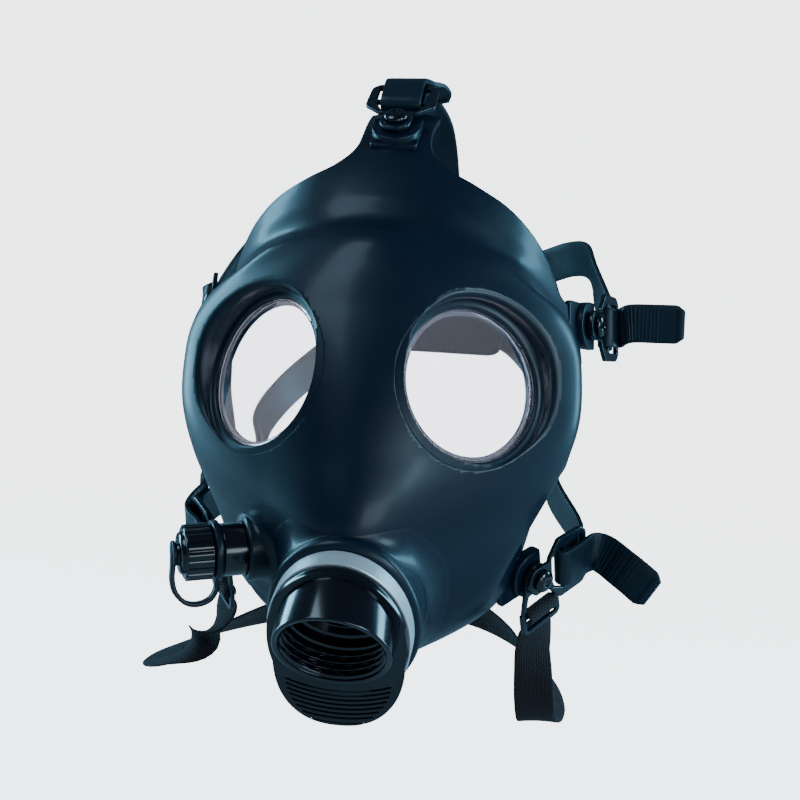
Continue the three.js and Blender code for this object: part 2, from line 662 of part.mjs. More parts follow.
function buckleSolid(matrix, low) {
  const { halfWide, length, hook, neck, shoulder, corner, taper, thick, endBar } = buckle;
  const shape = new THREE.Shape();
  shape.absarc(0, 0, hook, Math.PI * 1.15, Math.PI * 1.85, false);
  shape.lineTo(hook + 0.5, neck);
  shape.lineTo(halfWide, shoulder);
  shape.lineTo(halfWide - taper, length - corner);
  shape.lineTo(halfWide - corner, length);
  shape.lineTo(-halfWide + corner, length);
  shape.lineTo(-halfWide + taper, length - corner);
  shape.lineTo(-halfWide, shoulder);
  shape.lineTo(-hook - 0.5, neck);
  shape.closePath();
  shape.holes.push(...frameHoles(buckle, length - endBar));
  return plate(shape, low, low + thick, matrix, 5);
}
const wrap = strapThick / 2 + buckle.bar / 2 + 1;

// The strap's turn round the middle bar, from the head side to the free side
function turnStations(matrix, low, tail) {
  const z = low + buckle.thick / 2;
  const rows = [[30, -wrap - 0.8], [22, -wrap - 0.4], [buckle.midBar, -wrap]];
  for (const angle of [-50, -15, 15, 50]) {
    const a = THREE.MathUtils.degToRad(angle);
    rows.push([buckle.midBar - wrap * Math.cos(a), wrap * Math.sin(a)]);
  }
  rows.push([buckle.midBar, wrap], [17, wrap], [tail, wrap + 0.2]);
  const wide = at(matrix, 1, 0, 0).sub(at(matrix, 0, 0, 0));
  return rows.map(([y, dz]) => ({ at: at(matrix, 0, y, z + dz), wide }));
}

// Stations that lie on the head, by bearing from the front and height as a share of the head's half height
function headStation(bearing, height, lift) {
  const angle = THREE.MathUtils.degToRad(bearing);
  const full = head.fullness;
  const share = Math.abs(height);
  const k = (1 - share ** full) ** (1 / full);
  const x = head.halfWidth * k * Math.sin(angle);
  const y = -head.halfDepth * k * Math.cos(angle);
  const z = height * head.halfHeight;
  const rise = Math.sign(height) * share ** (full - 1) / head.halfHeight;
  const out = new THREE.Vector3(x / k / head.halfWidth ** 2, y / k / head.halfDepth ** 2, rise).normalize();
  return { at: new THREE.Vector3(x, y, z).addScaledVector(out, lift), out };
}

const onHead = strapThick / 2 + 0.8;
const overPad = pad.lift + (pad.thick + strapThick) / 2 + 0.8;
const onPad = (height) => overPad + (height - pad.middle) ** 2 * (head.halfHeight / 2);

function headRun(rows) {
  const raw = rows.map(([bearing, height, lift]) => headStation(bearing, height, lift));
  return raw.map((station, i) => {
    const a = raw[Math.max(i - 1, 0)].at;
    const b = raw[Math.min(i + 1, raw.length - 1)].at;
    return { at: station.at, wide: b.clone().sub(a).cross(station.out).normalize() };
  });
}

// Heights of the hooked frames over their bosses; on the cheeks the neck strap's frame lies underneath
const hookLow = 1.4;
const cheekHookLow = hookLow + neckFrame.thick + stud.play;
for (const name of Object.keys(bossSeats)) {
  const cheek = name.startsWith('cheek');
  add(`stud_${name}`, studSolid(bossSeats[name], cheek ? 2 : 1), colours.glossyPlastic);
  add(`buckle_${name}`, buckleSolid(bossSeats[name], cheek ? cheekHookLow : hookLow), colours.buckle);
}

// Head straps: from the back pad round the head, through the buckle, to the free end
// run: bearing from the front, height as a share, and lift off the head
// free: the loose end, its places and the directions of its width
const straps = [
  {
    name: 'top',
    tail: 27,
    run: [
      [180, 0.354, onPad(0.354)], [180, 0.4602, onPad(0.4602)], [180, 0.5841, onHead],
      [180, 0.7434, onHead], [180, 0.885, onHead], [180, 0.9735, onHead],
    ],
    free: [
      { at: [0.0248, -0.3307, 0.9606], wide: [1, 0, 0.1] },
      { at: [0.0745, -0.2598, 0.9606], wide: [1, 0, 0] },
      { at: [0.1118, -0.1969, 0.9213], wide: [1, 0.2, -0.1] },
    ],
  },
  {
    name: 'temple_left',
    tail: 20,
    run: [
      [166, 0.3717, onPad(0.3717)], [156, 0.3805, onPad(0.3805)], [140, 0.4248, onHead],
      [122, 0.4602, onHead], [106, 0.4425, onHead], [96, 0.3717, onHead],
    ],
    free: [
      { at: [1.205, -0.1496, 0.2157], wide: [0, 0, 1] },
      { at: [1.354, -0.1732, 0.2205], wide: [0, 0, 1] },
      { at: [1.4907, -0.1969, 0.222], wide: [0, 0, 1] },
    ],
  },
  {
    name: 'temple_right',
    tail: 28,
    run: [
      [-166, 0.3717, onPad(0.3717)], [-156, 0.3805, onPad(0.3805)], [-140, 0.4248, onHead],
      [-122, 0.4602, onHead], [-106, 0.4425, onHead], [-96, 0.3717, onHead],
    ],
    free: [
      { at: [-1.1491, 0.0157, 0.2173], wide: [0, 0, 1] },
      { at: [-1.1677, 0.1102, 0.2189], wide: [0, 0, 1] },
      { at: [-1.1677, 0.2047, 0.2205], wide: [0, 0, 1] },
    ],
  },
  {
    name: 'cheek_left',
    tail: 20,
    run: [
      [166, 0.1593, onPad(0.1593)], [156, 0.1239, onPad(0.1239)], [140, -0.0177, onHead],
      [124, -0.177, onHead], [108, -0.3186, -3], [96, -0.4602, -10],
    ],
    free: [
      { at: [1.118, -0.2913, -0.5433], wide: [0.3, 0, 1] },
      { at: [1.2671, -0.3386, -0.5906], wide: [0.4, 0, 1] },
      { at: [1.4161, -0.3858, -0.6535], wide: [0.5, 0, 1] },
    ],
  },
  {
    name: 'cheek_right',
    tail: 28,
    run: [
      [-166, 0.1593, onPad(0.1593)], [-156, 0.1239, onPad(0.1239)], [-140, -0.0177, onHead],
      [-124, -0.177, onHead], [-108, -0.3186, -3], [-96, -0.4602, -10],
    ],
    free: [
      { at: [-1.0435, -0.2047, -0.4803], wide: [0, 0, 1] },
      { at: [-1.0932, -0.1102, -0.4567], wide: [0, 0, 1] },
      { at: [-1.118, -0.0157, -0.4488], wide: [0, 0, 1] },
    ],
  },
];
for (const { name, run, tail, free } of straps) {
  const low = name.startsWith('cheek') ? cheekHookLow : hookLow;
  const around = headRun(run);
  const turn = turnStations(bossSeats[name], low, tail);
  const stations = [...around, ...turn, ...free.map(station)];
  add(`strap_${name}`, strip(stations, strapWidth, strapThick, 1), colours.rubber);
}

const padRun = [-158, -169, -180, -191, -202].map((bearing) => [bearing, pad.middle, pad.lift]);
add('back_pad', strip(headRun(padRun), pad.height, pad.thick, 2), colours.rubber);

// Neck strap: a hooked frame hangs on each cheek stud, and one webbing loop joins them behind the neck
function frameSeat(side) {
  const cheek = bossSeats[`cheek_${side}`];
  const [x, y, z] = [new THREE.Vector3(), new THREE.Vector3(), new THREE.Vector3()];
  cheek.extractBasis(x, y, z);
  const hang = new THREE.Vector3(side === 'left' ? 0.05 : -0.05, 0.55, -0.83);
  return seat(new THREE.Vector3().setFromMatrixPosition(cheek), z, hang);
}

function neckFrameSolid(matrix) {
  const { halfWide, length, hook, bar, corner, shoulder, thick } = neckFrame;
  const shape = new THREE.Shape();
  shape.absarc(0, 0, hook, Math.PI * 1.1, Math.PI * 1.9, false);
  shape.lineTo(halfWide, shoulder);
  shape.lineTo(halfWide, length - corner);
  shape.lineTo(halfWide - corner, length);
  shape.lineTo(-halfWide + corner, length);
  shape.lineTo(-halfWide, length - corner);
  shape.lineTo(-halfWide, shoulder);
  shape.closePath();
  shape.holes.push(...frameHoles(neckFrame, length - bar));
  return plate(shape, hookLow, hookLow + thick, matrix, 5);
}
for (const side of ['left', 'right']) {
  add(`neck_frame_${side}`, neckFrameSolid(frameSeat(side)), colours.buckle);
}

// The webbing's way round the middle bar and behind the end bar
function webTurn(side) {
  const matrix = frameSeat(side);
  const middle = hookLow + neckFrame.thick / 2;
  const wrapRadius = web.thick / 2 + neckFrame.thick / 2 + 0.6;
  const bar = neckFrame.midBar;
  const end = neckFrame.length - neckFrame.bar / 2;
  const rows = [[bar + 2, -wrapRadius], [bar, -wrapRadius]];
  for (const degrees of [-50, 0, 50]) {
    const angle = THREE.MathUtils.degToRad(degrees);
    rows.push([bar - wrapRadius * Math.cos(angle), wrapRadius * Math.sin(angle)]);
  }
  rows.push([bar, wrapRadius], [bar + 2.4, wrapRadius - 0.2], [bar + 4, -0.6]);
  rows.push([end - 1, -wrapRadius - 0.3], [end + 4, -wrapRadius - 0.4]);
  const wide = at(matrix, 1, 0, 0).sub(at(matrix, 0, 0, 0));
  return rows.map(([y, dz]) => ({ at: at(matrix, 0, y, middle + dz), wide }));
}

const neckRoute = [
  { at: [0.8199, -0.3071, -0.874], wide: [0.75, 0.55, 0.1] },
  { at: [0.8323, -0.3307, -0.9606], wide: [0.95, 0.3, 0] },
  { at: [0.8447, -0.3386, -1.0472], wide: [1, 0.1, 0] },
  { at: [0.8571, -0.2992, -1.1102], wide: [1, 0.1, 0.1] },
  { at: [0.882, -0.2047, -1.126], wide: [1, 0.2, -0.1] },
  { at: [0.8944, -0.0472, -1.1024], wide: [0.9, 0, -0.4] },
  { at: [0.8323, 0.1417, -1.0472], wide: [0.8, 0.3, -0.6] },
  { at: [0.646, 0.3622, -0.9685], wide: [0.5, 0.4, -0.8] },
  { at: [0.3478, 0.5197, -0.9055], wide: [0.3, 0.3, -0.9] },
  { at: [0, 0.5748, -0.8819], wide: [0, 0.3, -1] },
  { at: [-0.3727, 0.5512, -0.8976], wide: [-0.3, 0.3, -0.9] },
  { at: [-0.7702, 0.4567, -0.9449], wide: [-0.5, 0.4, -0.8] },
  { at: [-1.118, 0.2835, -1.0157], wide: [-0.7, 0.4, -0.5] },
  { at: [-1.3043, 0.0945, -1.0709], wide: [-0.9, 0.1, -0.3] },
  { at: [-1.2919, -0.0787, -1.0787], wide: [-0.8, -0.5, -0.2] },
  { at: [-1.1429, -0.189, -1.0315], wide: [-0.6, -0.5, -0.5] },
  { at: [-0.9938, -0.252, -0.9606], wide: [-0.3, 0.3, -0.9] },
  { at: [-0.882, -0.2756, -0.874], wide: [-0.55, 0.6, -0.3] },
].map(station);
const neckLoop = [...webTurn('left'), ...neckRoute, ...webTurn('right').reverse()];
add('neck_strap', strip(neckLoop, web.width, web.thick, 1), colours.webbing);

export default model;
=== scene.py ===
# Gas mask style costume mask, shown as it is worn. Shapes are worked out in millimetres and
# turned to metres at the end. -Y is the front, +X the wearer's left and +Z up.
import math

import bmesh
import bpy
import numpy as np
from mathutils import Matrix, Vector
from mathutils.bvhtree import BVHTree


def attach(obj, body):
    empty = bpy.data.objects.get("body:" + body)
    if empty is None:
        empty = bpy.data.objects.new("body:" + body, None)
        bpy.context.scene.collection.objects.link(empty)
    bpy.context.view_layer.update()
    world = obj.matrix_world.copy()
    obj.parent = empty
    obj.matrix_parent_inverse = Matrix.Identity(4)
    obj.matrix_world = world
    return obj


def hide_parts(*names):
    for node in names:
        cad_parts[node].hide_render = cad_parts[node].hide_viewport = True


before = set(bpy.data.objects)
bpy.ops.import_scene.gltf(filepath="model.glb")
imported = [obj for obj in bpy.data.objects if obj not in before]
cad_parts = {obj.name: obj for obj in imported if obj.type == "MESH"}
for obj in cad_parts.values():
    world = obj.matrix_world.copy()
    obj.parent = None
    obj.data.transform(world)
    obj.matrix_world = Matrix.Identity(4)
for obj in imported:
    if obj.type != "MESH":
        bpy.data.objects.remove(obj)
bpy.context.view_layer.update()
MM = 0.001

# Driving dimensions, the same as the solids'
GAP = 0.3
WALL = 2.6
HALF_WIDTH = 80.5
REACH = 127
AXIS_HEIGHT = -5
HEAD = {"half_width": 81, "half_depth": 98, "half_height": 113, "fullness": 2.6}
LENS = {"radius": 29.4, "thick": 2, "seat": 1.8, "ledge": 1.8, "recess": 33, "turn": 39, "lift": 12.5,
        "centre": (40.2, -105, -6)}
COLLAR = {"tilt": 28, "half_wide": 29.3, "half_tall": 35.5, "step": 3.1, "neck": 9,
          "centre": (0, -126, -97.8)}
BAND = {"thick": 0.9, "length": 8.2}
HOUSING = {"wall": 2.4, "flange": 3.2, "plug": 12}
CHIN = {"tilt": 12, "behind_rim": 1.2, "start": 0.5, "margin": 0.5, "flare_wide": 0.63,
        "flare_tall": 0.46, "fullness": 2.3, "length": 14}
SOCKET = {"tilt": 48, "outer": 22.5, "bore": 20.2, "root": 1, "pitch": 3, "thread": 12.5, "ledge": 13,
          "length": 21, "rim": (0, -146, -105.7)}
GRILLE = {"slots": 8, "pitch": 1.8, "cut": 0.75, "first": 3.5, "half_wide": 20.2, "tip": 14.6,
          "bend": 62, "depth": 3, "lowest": 17.2, "underside": 0.4}
PORT = {"bore": 8, "body": 10.5, "length": 14.2, "lip": 13, "lip_length": 4.6, "cap": 11.4,
        "cap_length": 11,
        "base": (-41.7, -100, -75.4), "axis": (-0.888, -0.449, -0.1)}
TETHER = {"width": 3, "thick": 1.4, "drop": 8.8}
STRAP_WIDTH = 16.5
STRAP_THICK = 2
STUD = {"neck": 3.2, "head": 4.8, "head_thick": 2.4, "foot": 5}
BOSS = {"radius": 10, "height": 3}
BUCKLE = {"half_wide": 14.5, "length": 28, "thick": 2, "bar": 2, "mid_bar": 14.5, "hook": 7,
          "window": 10.5}
NECK_FRAME = {"half_wide": 11.5, "length": 25, "thick": 1.8, "bar": 2, "mid_bar": 16, "hook": 6.4,
              "shoulder": 13.5, "window": 9}
WEB = {"width": 16.5, "thick": 1.4}
PAD = {"height": 50, "middle": 29, "thick": 2.5, "lift": 1.8}
HOOK_LOW = 1.4
CHEEK_HOOK_LOW = 3.6
STRETCH = COLLAR["half_tall"] / COLLAR["half_wide"]
NECK_RADIUS = COLLAR["half_wide"] - COLLAR["step"]


# Places and vectors
def unit(v):
    v = np.asarray(v, float)
    return v / np.linalg.norm(v)


def seat(origin, out, along):
    """A place on the mask: its Z axis points outwards and its Y axis along the pull of the strap."""
    z = unit(out)
    x = unit(np.cross(along, z))
    place = np.eye(4)
    place[:3, 0], place[:3, 1], place[:3, 2], place[:3, 3] = x, np.cross(z, x), z, origin
    return place


def put(place, points):
    return np.asarray(points, float) @ place[:3, :3].T + place[:3, 3]


def tilted_seat(origin, tilt):
    a = math.radians(tilt)
    return seat(origin, (0, -math.cos(a), -math.sin(a)), (0, 0, 1))


def lens_seat(side):
    turn, lift = math.radians(LENS["turn"]), math.radians(LENS["lift"])
    out = (math.sin(turn) * math.cos(lift) * side, -math.cos(turn) * math.cos(lift), math.sin(lift))
    return seat(np.array(LENS["centre"]) * (side, 1, 1), out, (0, 0, 1))


MOUTH = tilted_seat(COLLAR["centre"], COLLAR["tilt"])
RIM = tilted_seat(SOCKET["rim"], SOCKET["tilt"])
FACE = tilted_seat(put(RIM, [(0, -SOCKET["outer"], -CHIN["behind_rim"])])[0], CHIN["tilt"])
SIDE_PORT = seat(PORT["base"], PORT["axis"], (0, 0, 1))
BOSSES = {
    "top": seat((0, -73, 95.5), (0, -0.6, 0.8), (0, 0.8, 0.6)),
    "temple_left": seat((81, -31, 20.5), (0.95, -0.28, 0.08), (0.2, 0.97, -0.05)),
    "temple_right": seat((-81, -31, 20.5), (-0.95, -0.28, 0.08), (-0.2, 0.97, -0.05)),
    "cheek_left": seat((64.5, -52, -84), (0.8, -0.55, -0.24), (0.46, 0.75, 0.42)),
    "cheek_right": seat((-64.5, -52, -84), (-0.8, -0.55, -0.24), (-0.46, 0.75, 0.42)),
}


def frame_seat(side):
    cheek = BOSSES[f"cheek_{side}"]
    return seat(cheek[:3, 3], cheek[:3, 2], (0.05 if side == "left" else -0.05, 0.55, -0.83))


# Meshes
def mesh_object(name, points, faces):
    mesh = bpy.data.meshes.new(name)
    mesh.from_pydata(np.asarray(points, float).tolist(), [], [tuple(int(i) for i in f) for f in faces])
    mesh.update()
    piece = bpy.data.objects.new(name, mesh)
    bpy.context.scene.collection.objects.link(piece)
    return piece


def closed(piece):
    """Merges the poles and turns the faces outwards."""
    bm = bmesh.new()
    bm.from_mesh(piece.data)
    bmesh.ops.remove_doubles(bm, verts=bm.verts, dist=1e-4)
    if bm.calc_volume(signed=True) < 0:
        bmesh.ops.reverse_faces(bm, faces=bm.faces)
    bm.to_mesh(piece.data)
    bm.free()
    return piece


def lofted(name, rings, loop=False):
    """A closed solid through rings of points; each end is closed by a fan, unless it is a loop."""
    rings = np.asarray(rings, float)
    rows, n = rings.shape[:2]
    points = rings.reshape(-1, 3)
    faces = []
    for j in range(rows if loop else rows - 1):
        a, b = j * n, ((j + 1) % rows) * n
        faces += [(a + i, a + (i + 1) % n, b + (i + 1) % n, b + i) for i in range(n)]
    if not loop:
        points = np.vstack([points, rings[0].mean(0), rings[-1].mean(0)])
        last = (rows - 1) * n
        faces += [((i + 1) % n, i, rows * n) for i in range(n)]
        faces += [(last + i, last + (i + 1) % n, rows * n + 1) for i in range(n)]
    return closed(mesh_object(name, points, faces))


def turned(name, rows, sides, place, stretch=1, loop=False):
    """A turned solid from rows of radius and height."""
    angle = np.arange(sides) * 2 * math.pi / sides
    rings = [np.stack([r * np.cos(angle), r * stretch * np.sin(angle), np.full(sides, z)], 1)
             for r, z in rows]
    return lofted(name, [put(place, ring) for ring in rings], loop)


def round_off(radius, height, by, steps=4, up=True):
    """Rows of radius and height for the rounded outer corner of a turned solid."""
    rows = []
    for a in np.linspace(0, math.pi / 2, steps + 1):
        rows.append((radius - by + by * math.cos(a), height - by + by * math.sin(a)))
    if up:
        return rows
    return [(r, 2 * height - z) for r, z in reversed(rows)]


def disc(name, radius, low, high, sides, place, by=0.5, stretch=1):
    rows = [(0, low)] + round_off(radius, low, by, up=False) + round_off(radius, high, by) + [(0, high)]
    return turned(name, rows, sides, place, stretch)


def bake(piece):
    """Turns the piece and its modifiers into a plain mesh."""
    graph = bpy.context.evaluated_depsgraph_get()
    mesh = bpy.data.meshes.new_from_object(piece.evaluated_get(graph))
    old = piece.data
    piece.modifiers.clear()
    piece.data = mesh
    bpy.data.meshes.remove(old)
    return piece


def joined(piece, other, how):
    """Joins the piece with another, cuts the other away or keeps what both hold."""
    step = piece.modifiers.new(how, "BOOLEAN")
    step.operation = how
    step.solver = "MANIFOLD"
    step.object = other
    bake(piece)
    bpy.data.objects.remove(other)
    return piece


def merged(piece, *others):
    """Puts loose details into the piece's own mesh."""
    bm = bmesh.new()
    bm.from_mesh(piece.data)
    for other in others:
        bm.from_mesh(other.data)
        bpy.data.objects.remove(other)
    bm.to_mesh(piece.data)
    bm.free()
    return piece


def bevelled(piece, width, segments=3, angle=35):
    step = piece.modifiers.new("soft_edges", "BEVEL")
    step.width = width
    step.segments = segments
    step.limit_method = "ANGLE"
    step.angle_limit = math.radians(angle)
    step.use_clamp_overlap = True
    return bake(piece)


def moulded_plate(name, outline, holes, low, high, place, soft=0.35):
    """A flat moulded plate with rounded edges, from an outline and holes in its own plane."""
    curve = bpy.data.curves.new(name, "CURVE")
    curve.dimensions = "2D"
    curve.fill_mode = "BOTH"
    curve.extrude = (high - low) / 2 - soft
    curve.bevel_depth = soft
    curve.bevel_resolution = 2
    curve.offset = -soft
    for ring in [outline] + list(holes):
        spline = curve.splines.new("POLY")
        spline.points.add(len(ring) - 1)
        for point, (x, y) in zip(spline.points, ring):
            point.co = (x, y, 0, 1)
        spline.use_cyclic_u = True
    shape = bpy.data.objects.new(name, curve)
    bpy.context.scene.collection.objects.link(shape)
    graph = bpy.context.evaluated_depsgraph_get()
    mesh = bpy.data.meshes.new_from_object(shape.evaluated_get(graph))
    bpy.data.objects.remove(shape)
    piece = bpy.data.objects.new(name, mesh)
    bpy.context.scene.collection.objects.link(piece)
    lift = np.eye(4)
    lift[2, 3] = (low + high) / 2
    mesh.transform(Matrix((place @ lift).tolist()))
    return closed(piece)


def arc(radius, start, end, steps, centre=(0, 0)):
    return [(centre[0] + radius * math.cos(math.radians(a)),
             centre[1] + radius * math.sin(math.radians(a)))
            for a in np.linspace(start, end, steps)]


def softened(ring, by=0.8, steps=3):
    """Rounds the corners of a flat outline."""
    ring = [np.array(p, float) for p in ring]
    out = []
    for k, p in enumerate(ring):
        before, after = ring[k - 1], ring[(k + 1) % len(ring)]
        room = min(np.linalg.norm(before - p), np.linalg.norm(after - p)) * 0.45
        cut = min(by, room)
        a, b = p + unit(before - p) * cut, p + unit(after - p) * cut
        for t in np.linspace(0, 1, steps + 1):
            out.append(tuple((1 - t) ** 2 * a + 2 * t * (1 - t) * p + t * t * b))
    return out


# The facepiece's skin, as in the solids: sections in planes through the ears, tilted up from level
SECTION_COLUMNS = ("tilt", "mid", "eye_across", "eye", "brim_across", "brim", "foot_across", "foot",
                   "back_across", "back")
SECTIONS = np.array([
    [-68, 0.957, 0.273, 0.913, 0.522, 0.819, 0.671, 0.709, 0.77, 0.52],
    [-54, 1.157, 0.273, 1.063, 0.547, 0.937, 0.683, 0.811, 0.795, 0.551],
    [-46, 1.213, 0.323, 1.079, 0.64, 0.906, 0.708, 0.732, 0.832, 0.472],
    [-36, 1.197, 0.398, 1.016, 0.795, 0.764, 0.752, 0.614, 0.894, 0.362],
    [-24, 1.184, 0.46, 0.992, 0.925, 0.689, 0.807, 0.52, 0.938, 0.315],
    [-12, 1.071, 0.497, 0.921, 0.994, 0.646, 0.845, 0.472, 0.969, 0.291],
    [0, 1, 0.497, 0.894, 1, 0.632, 0.851, 0.457, 0.981, 0.283],
    [12, 0.958, 0.478, 0.882, 0.963, 0.646, 0.857, 0.472, 0.981, 0.299],
    [21, 0.951, 0.41, 0.882, 0.857, 0.681, 0.839, 0.52, 0.969, 0.315],
    [27, 0.946, 0.335, 0.886, 0.609, 0.795, 0.77, 0.626, 0.957, 0.331],
    [32, 0.898, 0.311, 0.868, 0.571, 0.768, 0.745, 0.646, 0.944, 0.362],
    [38, 0.911, 0.311, 0.88, 0.571, 0.78, 0.77, 0.63, 0.944, 0.362],
    [46, 0.931, 0.311, 0.899, 0.571, 0.798, 0.77, 0.645, 0.944, 0.37],
    [56, 0.957, 0.311, 0.91, 0.571, 0.787, 0.77, 0.616, 0.944, 0.331],
    [70, 0.937, 0.311, 0.89, 0.571, 0.771, 0.77, 0.603, 0.944, 0.323],
])
FLANGE_OUTLINE = [(0.18, 1.34), (0.182, 1.09), (0.27, 0.985), (0.43, 0.9), (0.585, 0.808),
                  (0.7, 0.695), (0.776, 0.58), (0.826, 0.47), (0.86, 0.385), (0.925, 0.33), (1.1, 0.31)]
SIDE_OUTLINE = [(-0.59, 1.4), (-0.59, 1.18), (-0.45, 0.5), (-0.44, 0.15), (-0.5, -0.05),
                (-0.55, -0.4), (-0.6, -0.8), (-0.66, -1.1), (-0.6, -1.3), (-0.52, -1.9)]


def smooth(places, values, where):
    """A smooth curve through values at given places, with its slope taken from the neighbours."""
    places, values = np.asarray(places, float), np.asarray(values, float)
    where = np.atleast_1d(where).astype(float)
    count = len(places)
    i = np.clip(np.searchsorted(places, where, side="left") - 1, 0, count - 2)
    low = np.maximum(np.arange(count) - 1, 0)
    high = np.minimum(np.arange(count) + 1, count - 1)
    shape = (-1,) + (1,) * (values.ndim - 1)
    slope = (values[high] - values[low]) / (places[high] - places[low]).reshape(shape)
    span = (places[i + 1] - places[i]).reshape(shape)
    t = ((where - places[i])).reshape(shape) / span
    ease = t * t * (3 - 2 * t)
    rise = t * (1 - t) ** 2 * slope[i] * span
    fall = t * t * (t - 1) * slope[i + 1] * span
    return values[i] * (1 - ease) + values[i + 1] * ease + rise + fall


def skin(turns, tilts):
    """The outer skin on a grid of tilts by turns; turn runs from -4 (right) over 0 (middle) to 4 (left)."""
    turns, tilts = np.atleast_1d(turns), np.atleast_1d(tilts)
    table = {name: column for name, column in zip(SECTION_COLUMNS,
                                                  smooth(SECTIONS[:, 0], SECTIONS, tilts).T)}
    zero = np.zeros(len(tilts))
    x_rows = [zero] + [table[f"{n}_across"] for n in ("eye", "brim", "foot", "back")]
    s_rows = [table[n] for n in ("mid", "eye", "brim", "foot", "back")]
    places = [-1, 0, 1, 2, 3, 4]
    x = smooth(places, [-x_rows[1]] + x_rows, np.abs(turns)).T * HALF_WIDTH * np.where(turns < 0, -1, 1)
    s = smooth(places, [s_rows[1]] + s_rows, np.abs(turns)).T * REACH
    a = np.radians(tilts)[:, None]
    return np.stack([x, -s * np.cos(a), AXIS_HEIGHT + s * np.sin(a)], -1)


def skin_body(name, depth, turn_count, tilt_count):
    """Everything inside the skin, set in by a depth, closed at the back."""
    turns = np.linspace(-4, 4, turn_count)
    tilts = np.linspace(SECTIONS[0, 0], SECTIONS[-1, 0], tilt_count)
    points = skin(turns, tilts)
    if depth:
        step = 0.02
        side = skin(turns + step, tilts) - skin(turns - step, tilts)
        up = skin(turns, tilts + step * 10) - skin(turns, tilts - step * 10)
        normal = np.cross(side, up)
        points = points - normal / np.linalg.norm(normal, axis=-1, keepdims=True) * depth
    rows, n = points.shape[:2]
    flat = np.vstack([points.reshape(-1, 3), [(0, -HALF_WIDTH * 0.1, AXIS_HEIGHT)]])
    centre = rows * n
    faces = [(j * n + i, j * n + i + 1, (j + 1) * n + i + 1, (j + 1) * n + i) for j in range(rows - 1)
             for i in range(n - 1)]
    top = (rows - 1) * n
    faces += [(i + 1, i, centre) for i in range(n - 1)] + [(top + i, top + i + 1, centre)
                                                           for i in range(n - 1)]
    faces += [(j * n, (j + 1) * n, centre) for j in range(rows - 1)]
    faces += [((j + 1) * n + n - 1, j * n + n - 1, centre) for j in range(rows - 1)]
    return closed(mesh_object(name, flat, faces))


def surface_of(piece):
    return BVHTree.FromPolygons([v.co for v in piece.data.vertices],
                                [tuple(p.vertices) for p in piece.data.polygons])


def height_over(surface, place, radius, angles, stretch=1):
    """Height of the surface above the place's own plane, round a ring."""
    out = Vector(place[:3, 2])
    heights = []
    for a in angles:
        start = put(place, [(radius * math.cos(a), radius * stretch * math.sin(a), 70)])[0]
        hit = surface.ray_cast(Vector(start), -out)[0]
        heights.append(70 - (Vector(start) - hit).length if hit else -20)
    return np.array(heights)


def ring_at(place, radius, heights, angles, stretch=1):
    r = np.broadcast_to(radius, angles.shape)
    return put(place, np.stack([r * np.cos(angles), r * stretch * np.sin(angles),
                                np.broadcast_to(heights, angles.shape)], 1))


def fillet_skirt(name, surface, place, radius, size, ceiling, sides, stretch=1):
    """A hollow-curved skirt that runs from a collar's wall out onto the skin."""
    angles = np.arange(sides) * 2 * math.pi / sides
    room = np.clip(ceiling - height_over(surface, place, radius, angles, stretch), 0.6, size)
    rings = [ring_at(place, 1, -26, angles, stretch), ring_at(place, radius - 3, -26, angles, stretch)]
    reach = radius + room + 0.8
    rings.append(ring_at(place, radius - 2, height_over(surface, place, radius, angles, stretch) - 4,
                         angles, stretch))
    outer = np.array([height_over(surface, place, r, [a], stretch)[0] for r, a in zip(reach, angles)])
    rings.append(ring_at(place, reach, outer - 0.5, angles, stretch))
    for a in np.linspace(math.pi / 2, 0, 9):
        r = radius + room * (1 - math.cos(a))
        level = np.array([height_over(surface, place, q, [b], stretch)[0] for q, b in zip(r, angles)])
        rings.append(ring_at(place, r, level + room * (1 - math.sin(a)) + 0.02, angles, stretch))
    rings.append(ring_at(place, radius - 3, rings_top(place, rings[-1]), angles, stretch))
    rings.append(ring_at(place, 1, rings_top(place, rings[-2]), angles, stretch))
    return lofted(name, rings)


def rings_top(place, ring):
    return ((ring - place[:3, 3]) @ place[:3, :3])[:, 2]


def recess_cutter(name, surface, place, sides):
    """What is cut away for an eye: a rounded brim, the recess wall, the ledge round the glass and its seat."""
    angles = np.arange(sides) * 2 * math.pi / sides
    wall = LENS["recess"]
    foot = 2.0
    room = np.clip(height_over(surface, place, wall, angles) - foot - 0.4, 0.3, 3.4)
    rings = [ring_at(place, 1, 40, angles), ring_at(place, wall + room + 0.6, 40, angles)]
    top = np.array([height_over(surface, place, r, [a])[0] for r, a in zip(wall + room + 0.5, angles)])
    rings.append(ring_at(place, wall + room + 0.5, top + 0.35, angles))
    for a in np.linspace(math.pi / 2, 0, 9):
        r = wall + room * (1 - math.cos(a))
        level = np.array([height_over(surface, place, q, [b])[0] for q, b in zip(r, angles)])
        rings.append(ring_at(place, r, level - room * (1 - math.sin(a)), angles))
    fit = LENS["radius"] + GAP
    floor = -LENS["thick"] - GAP
    inner = LENS["radius"] - LENS["ledge"]
    for r, z in [(wall, foot), (wall - 0.3, 1.5), (wall - 0.9, 1.2), (fit + 1.2, 1.15),
                 (fit + 0.5, 0.95), (fit + 0.1, 0.5), (fit, 0), (fit, floor), (inner, floor), (inner, floor - 24), (1, floor - 24)]:
        rings.append(ring_at(place, r, z, angles))
    return lofted(name, rings)


def rounded_path(points, count):
    """A smooth open path through points."""
    points = np.asarray(points, float)
    length = np.r_[0, np.cumsum(np.linalg.norm(np.diff(points, axis=0), axis=1))]
    return smooth(length, points, np.linspace(0, length[-1], count))


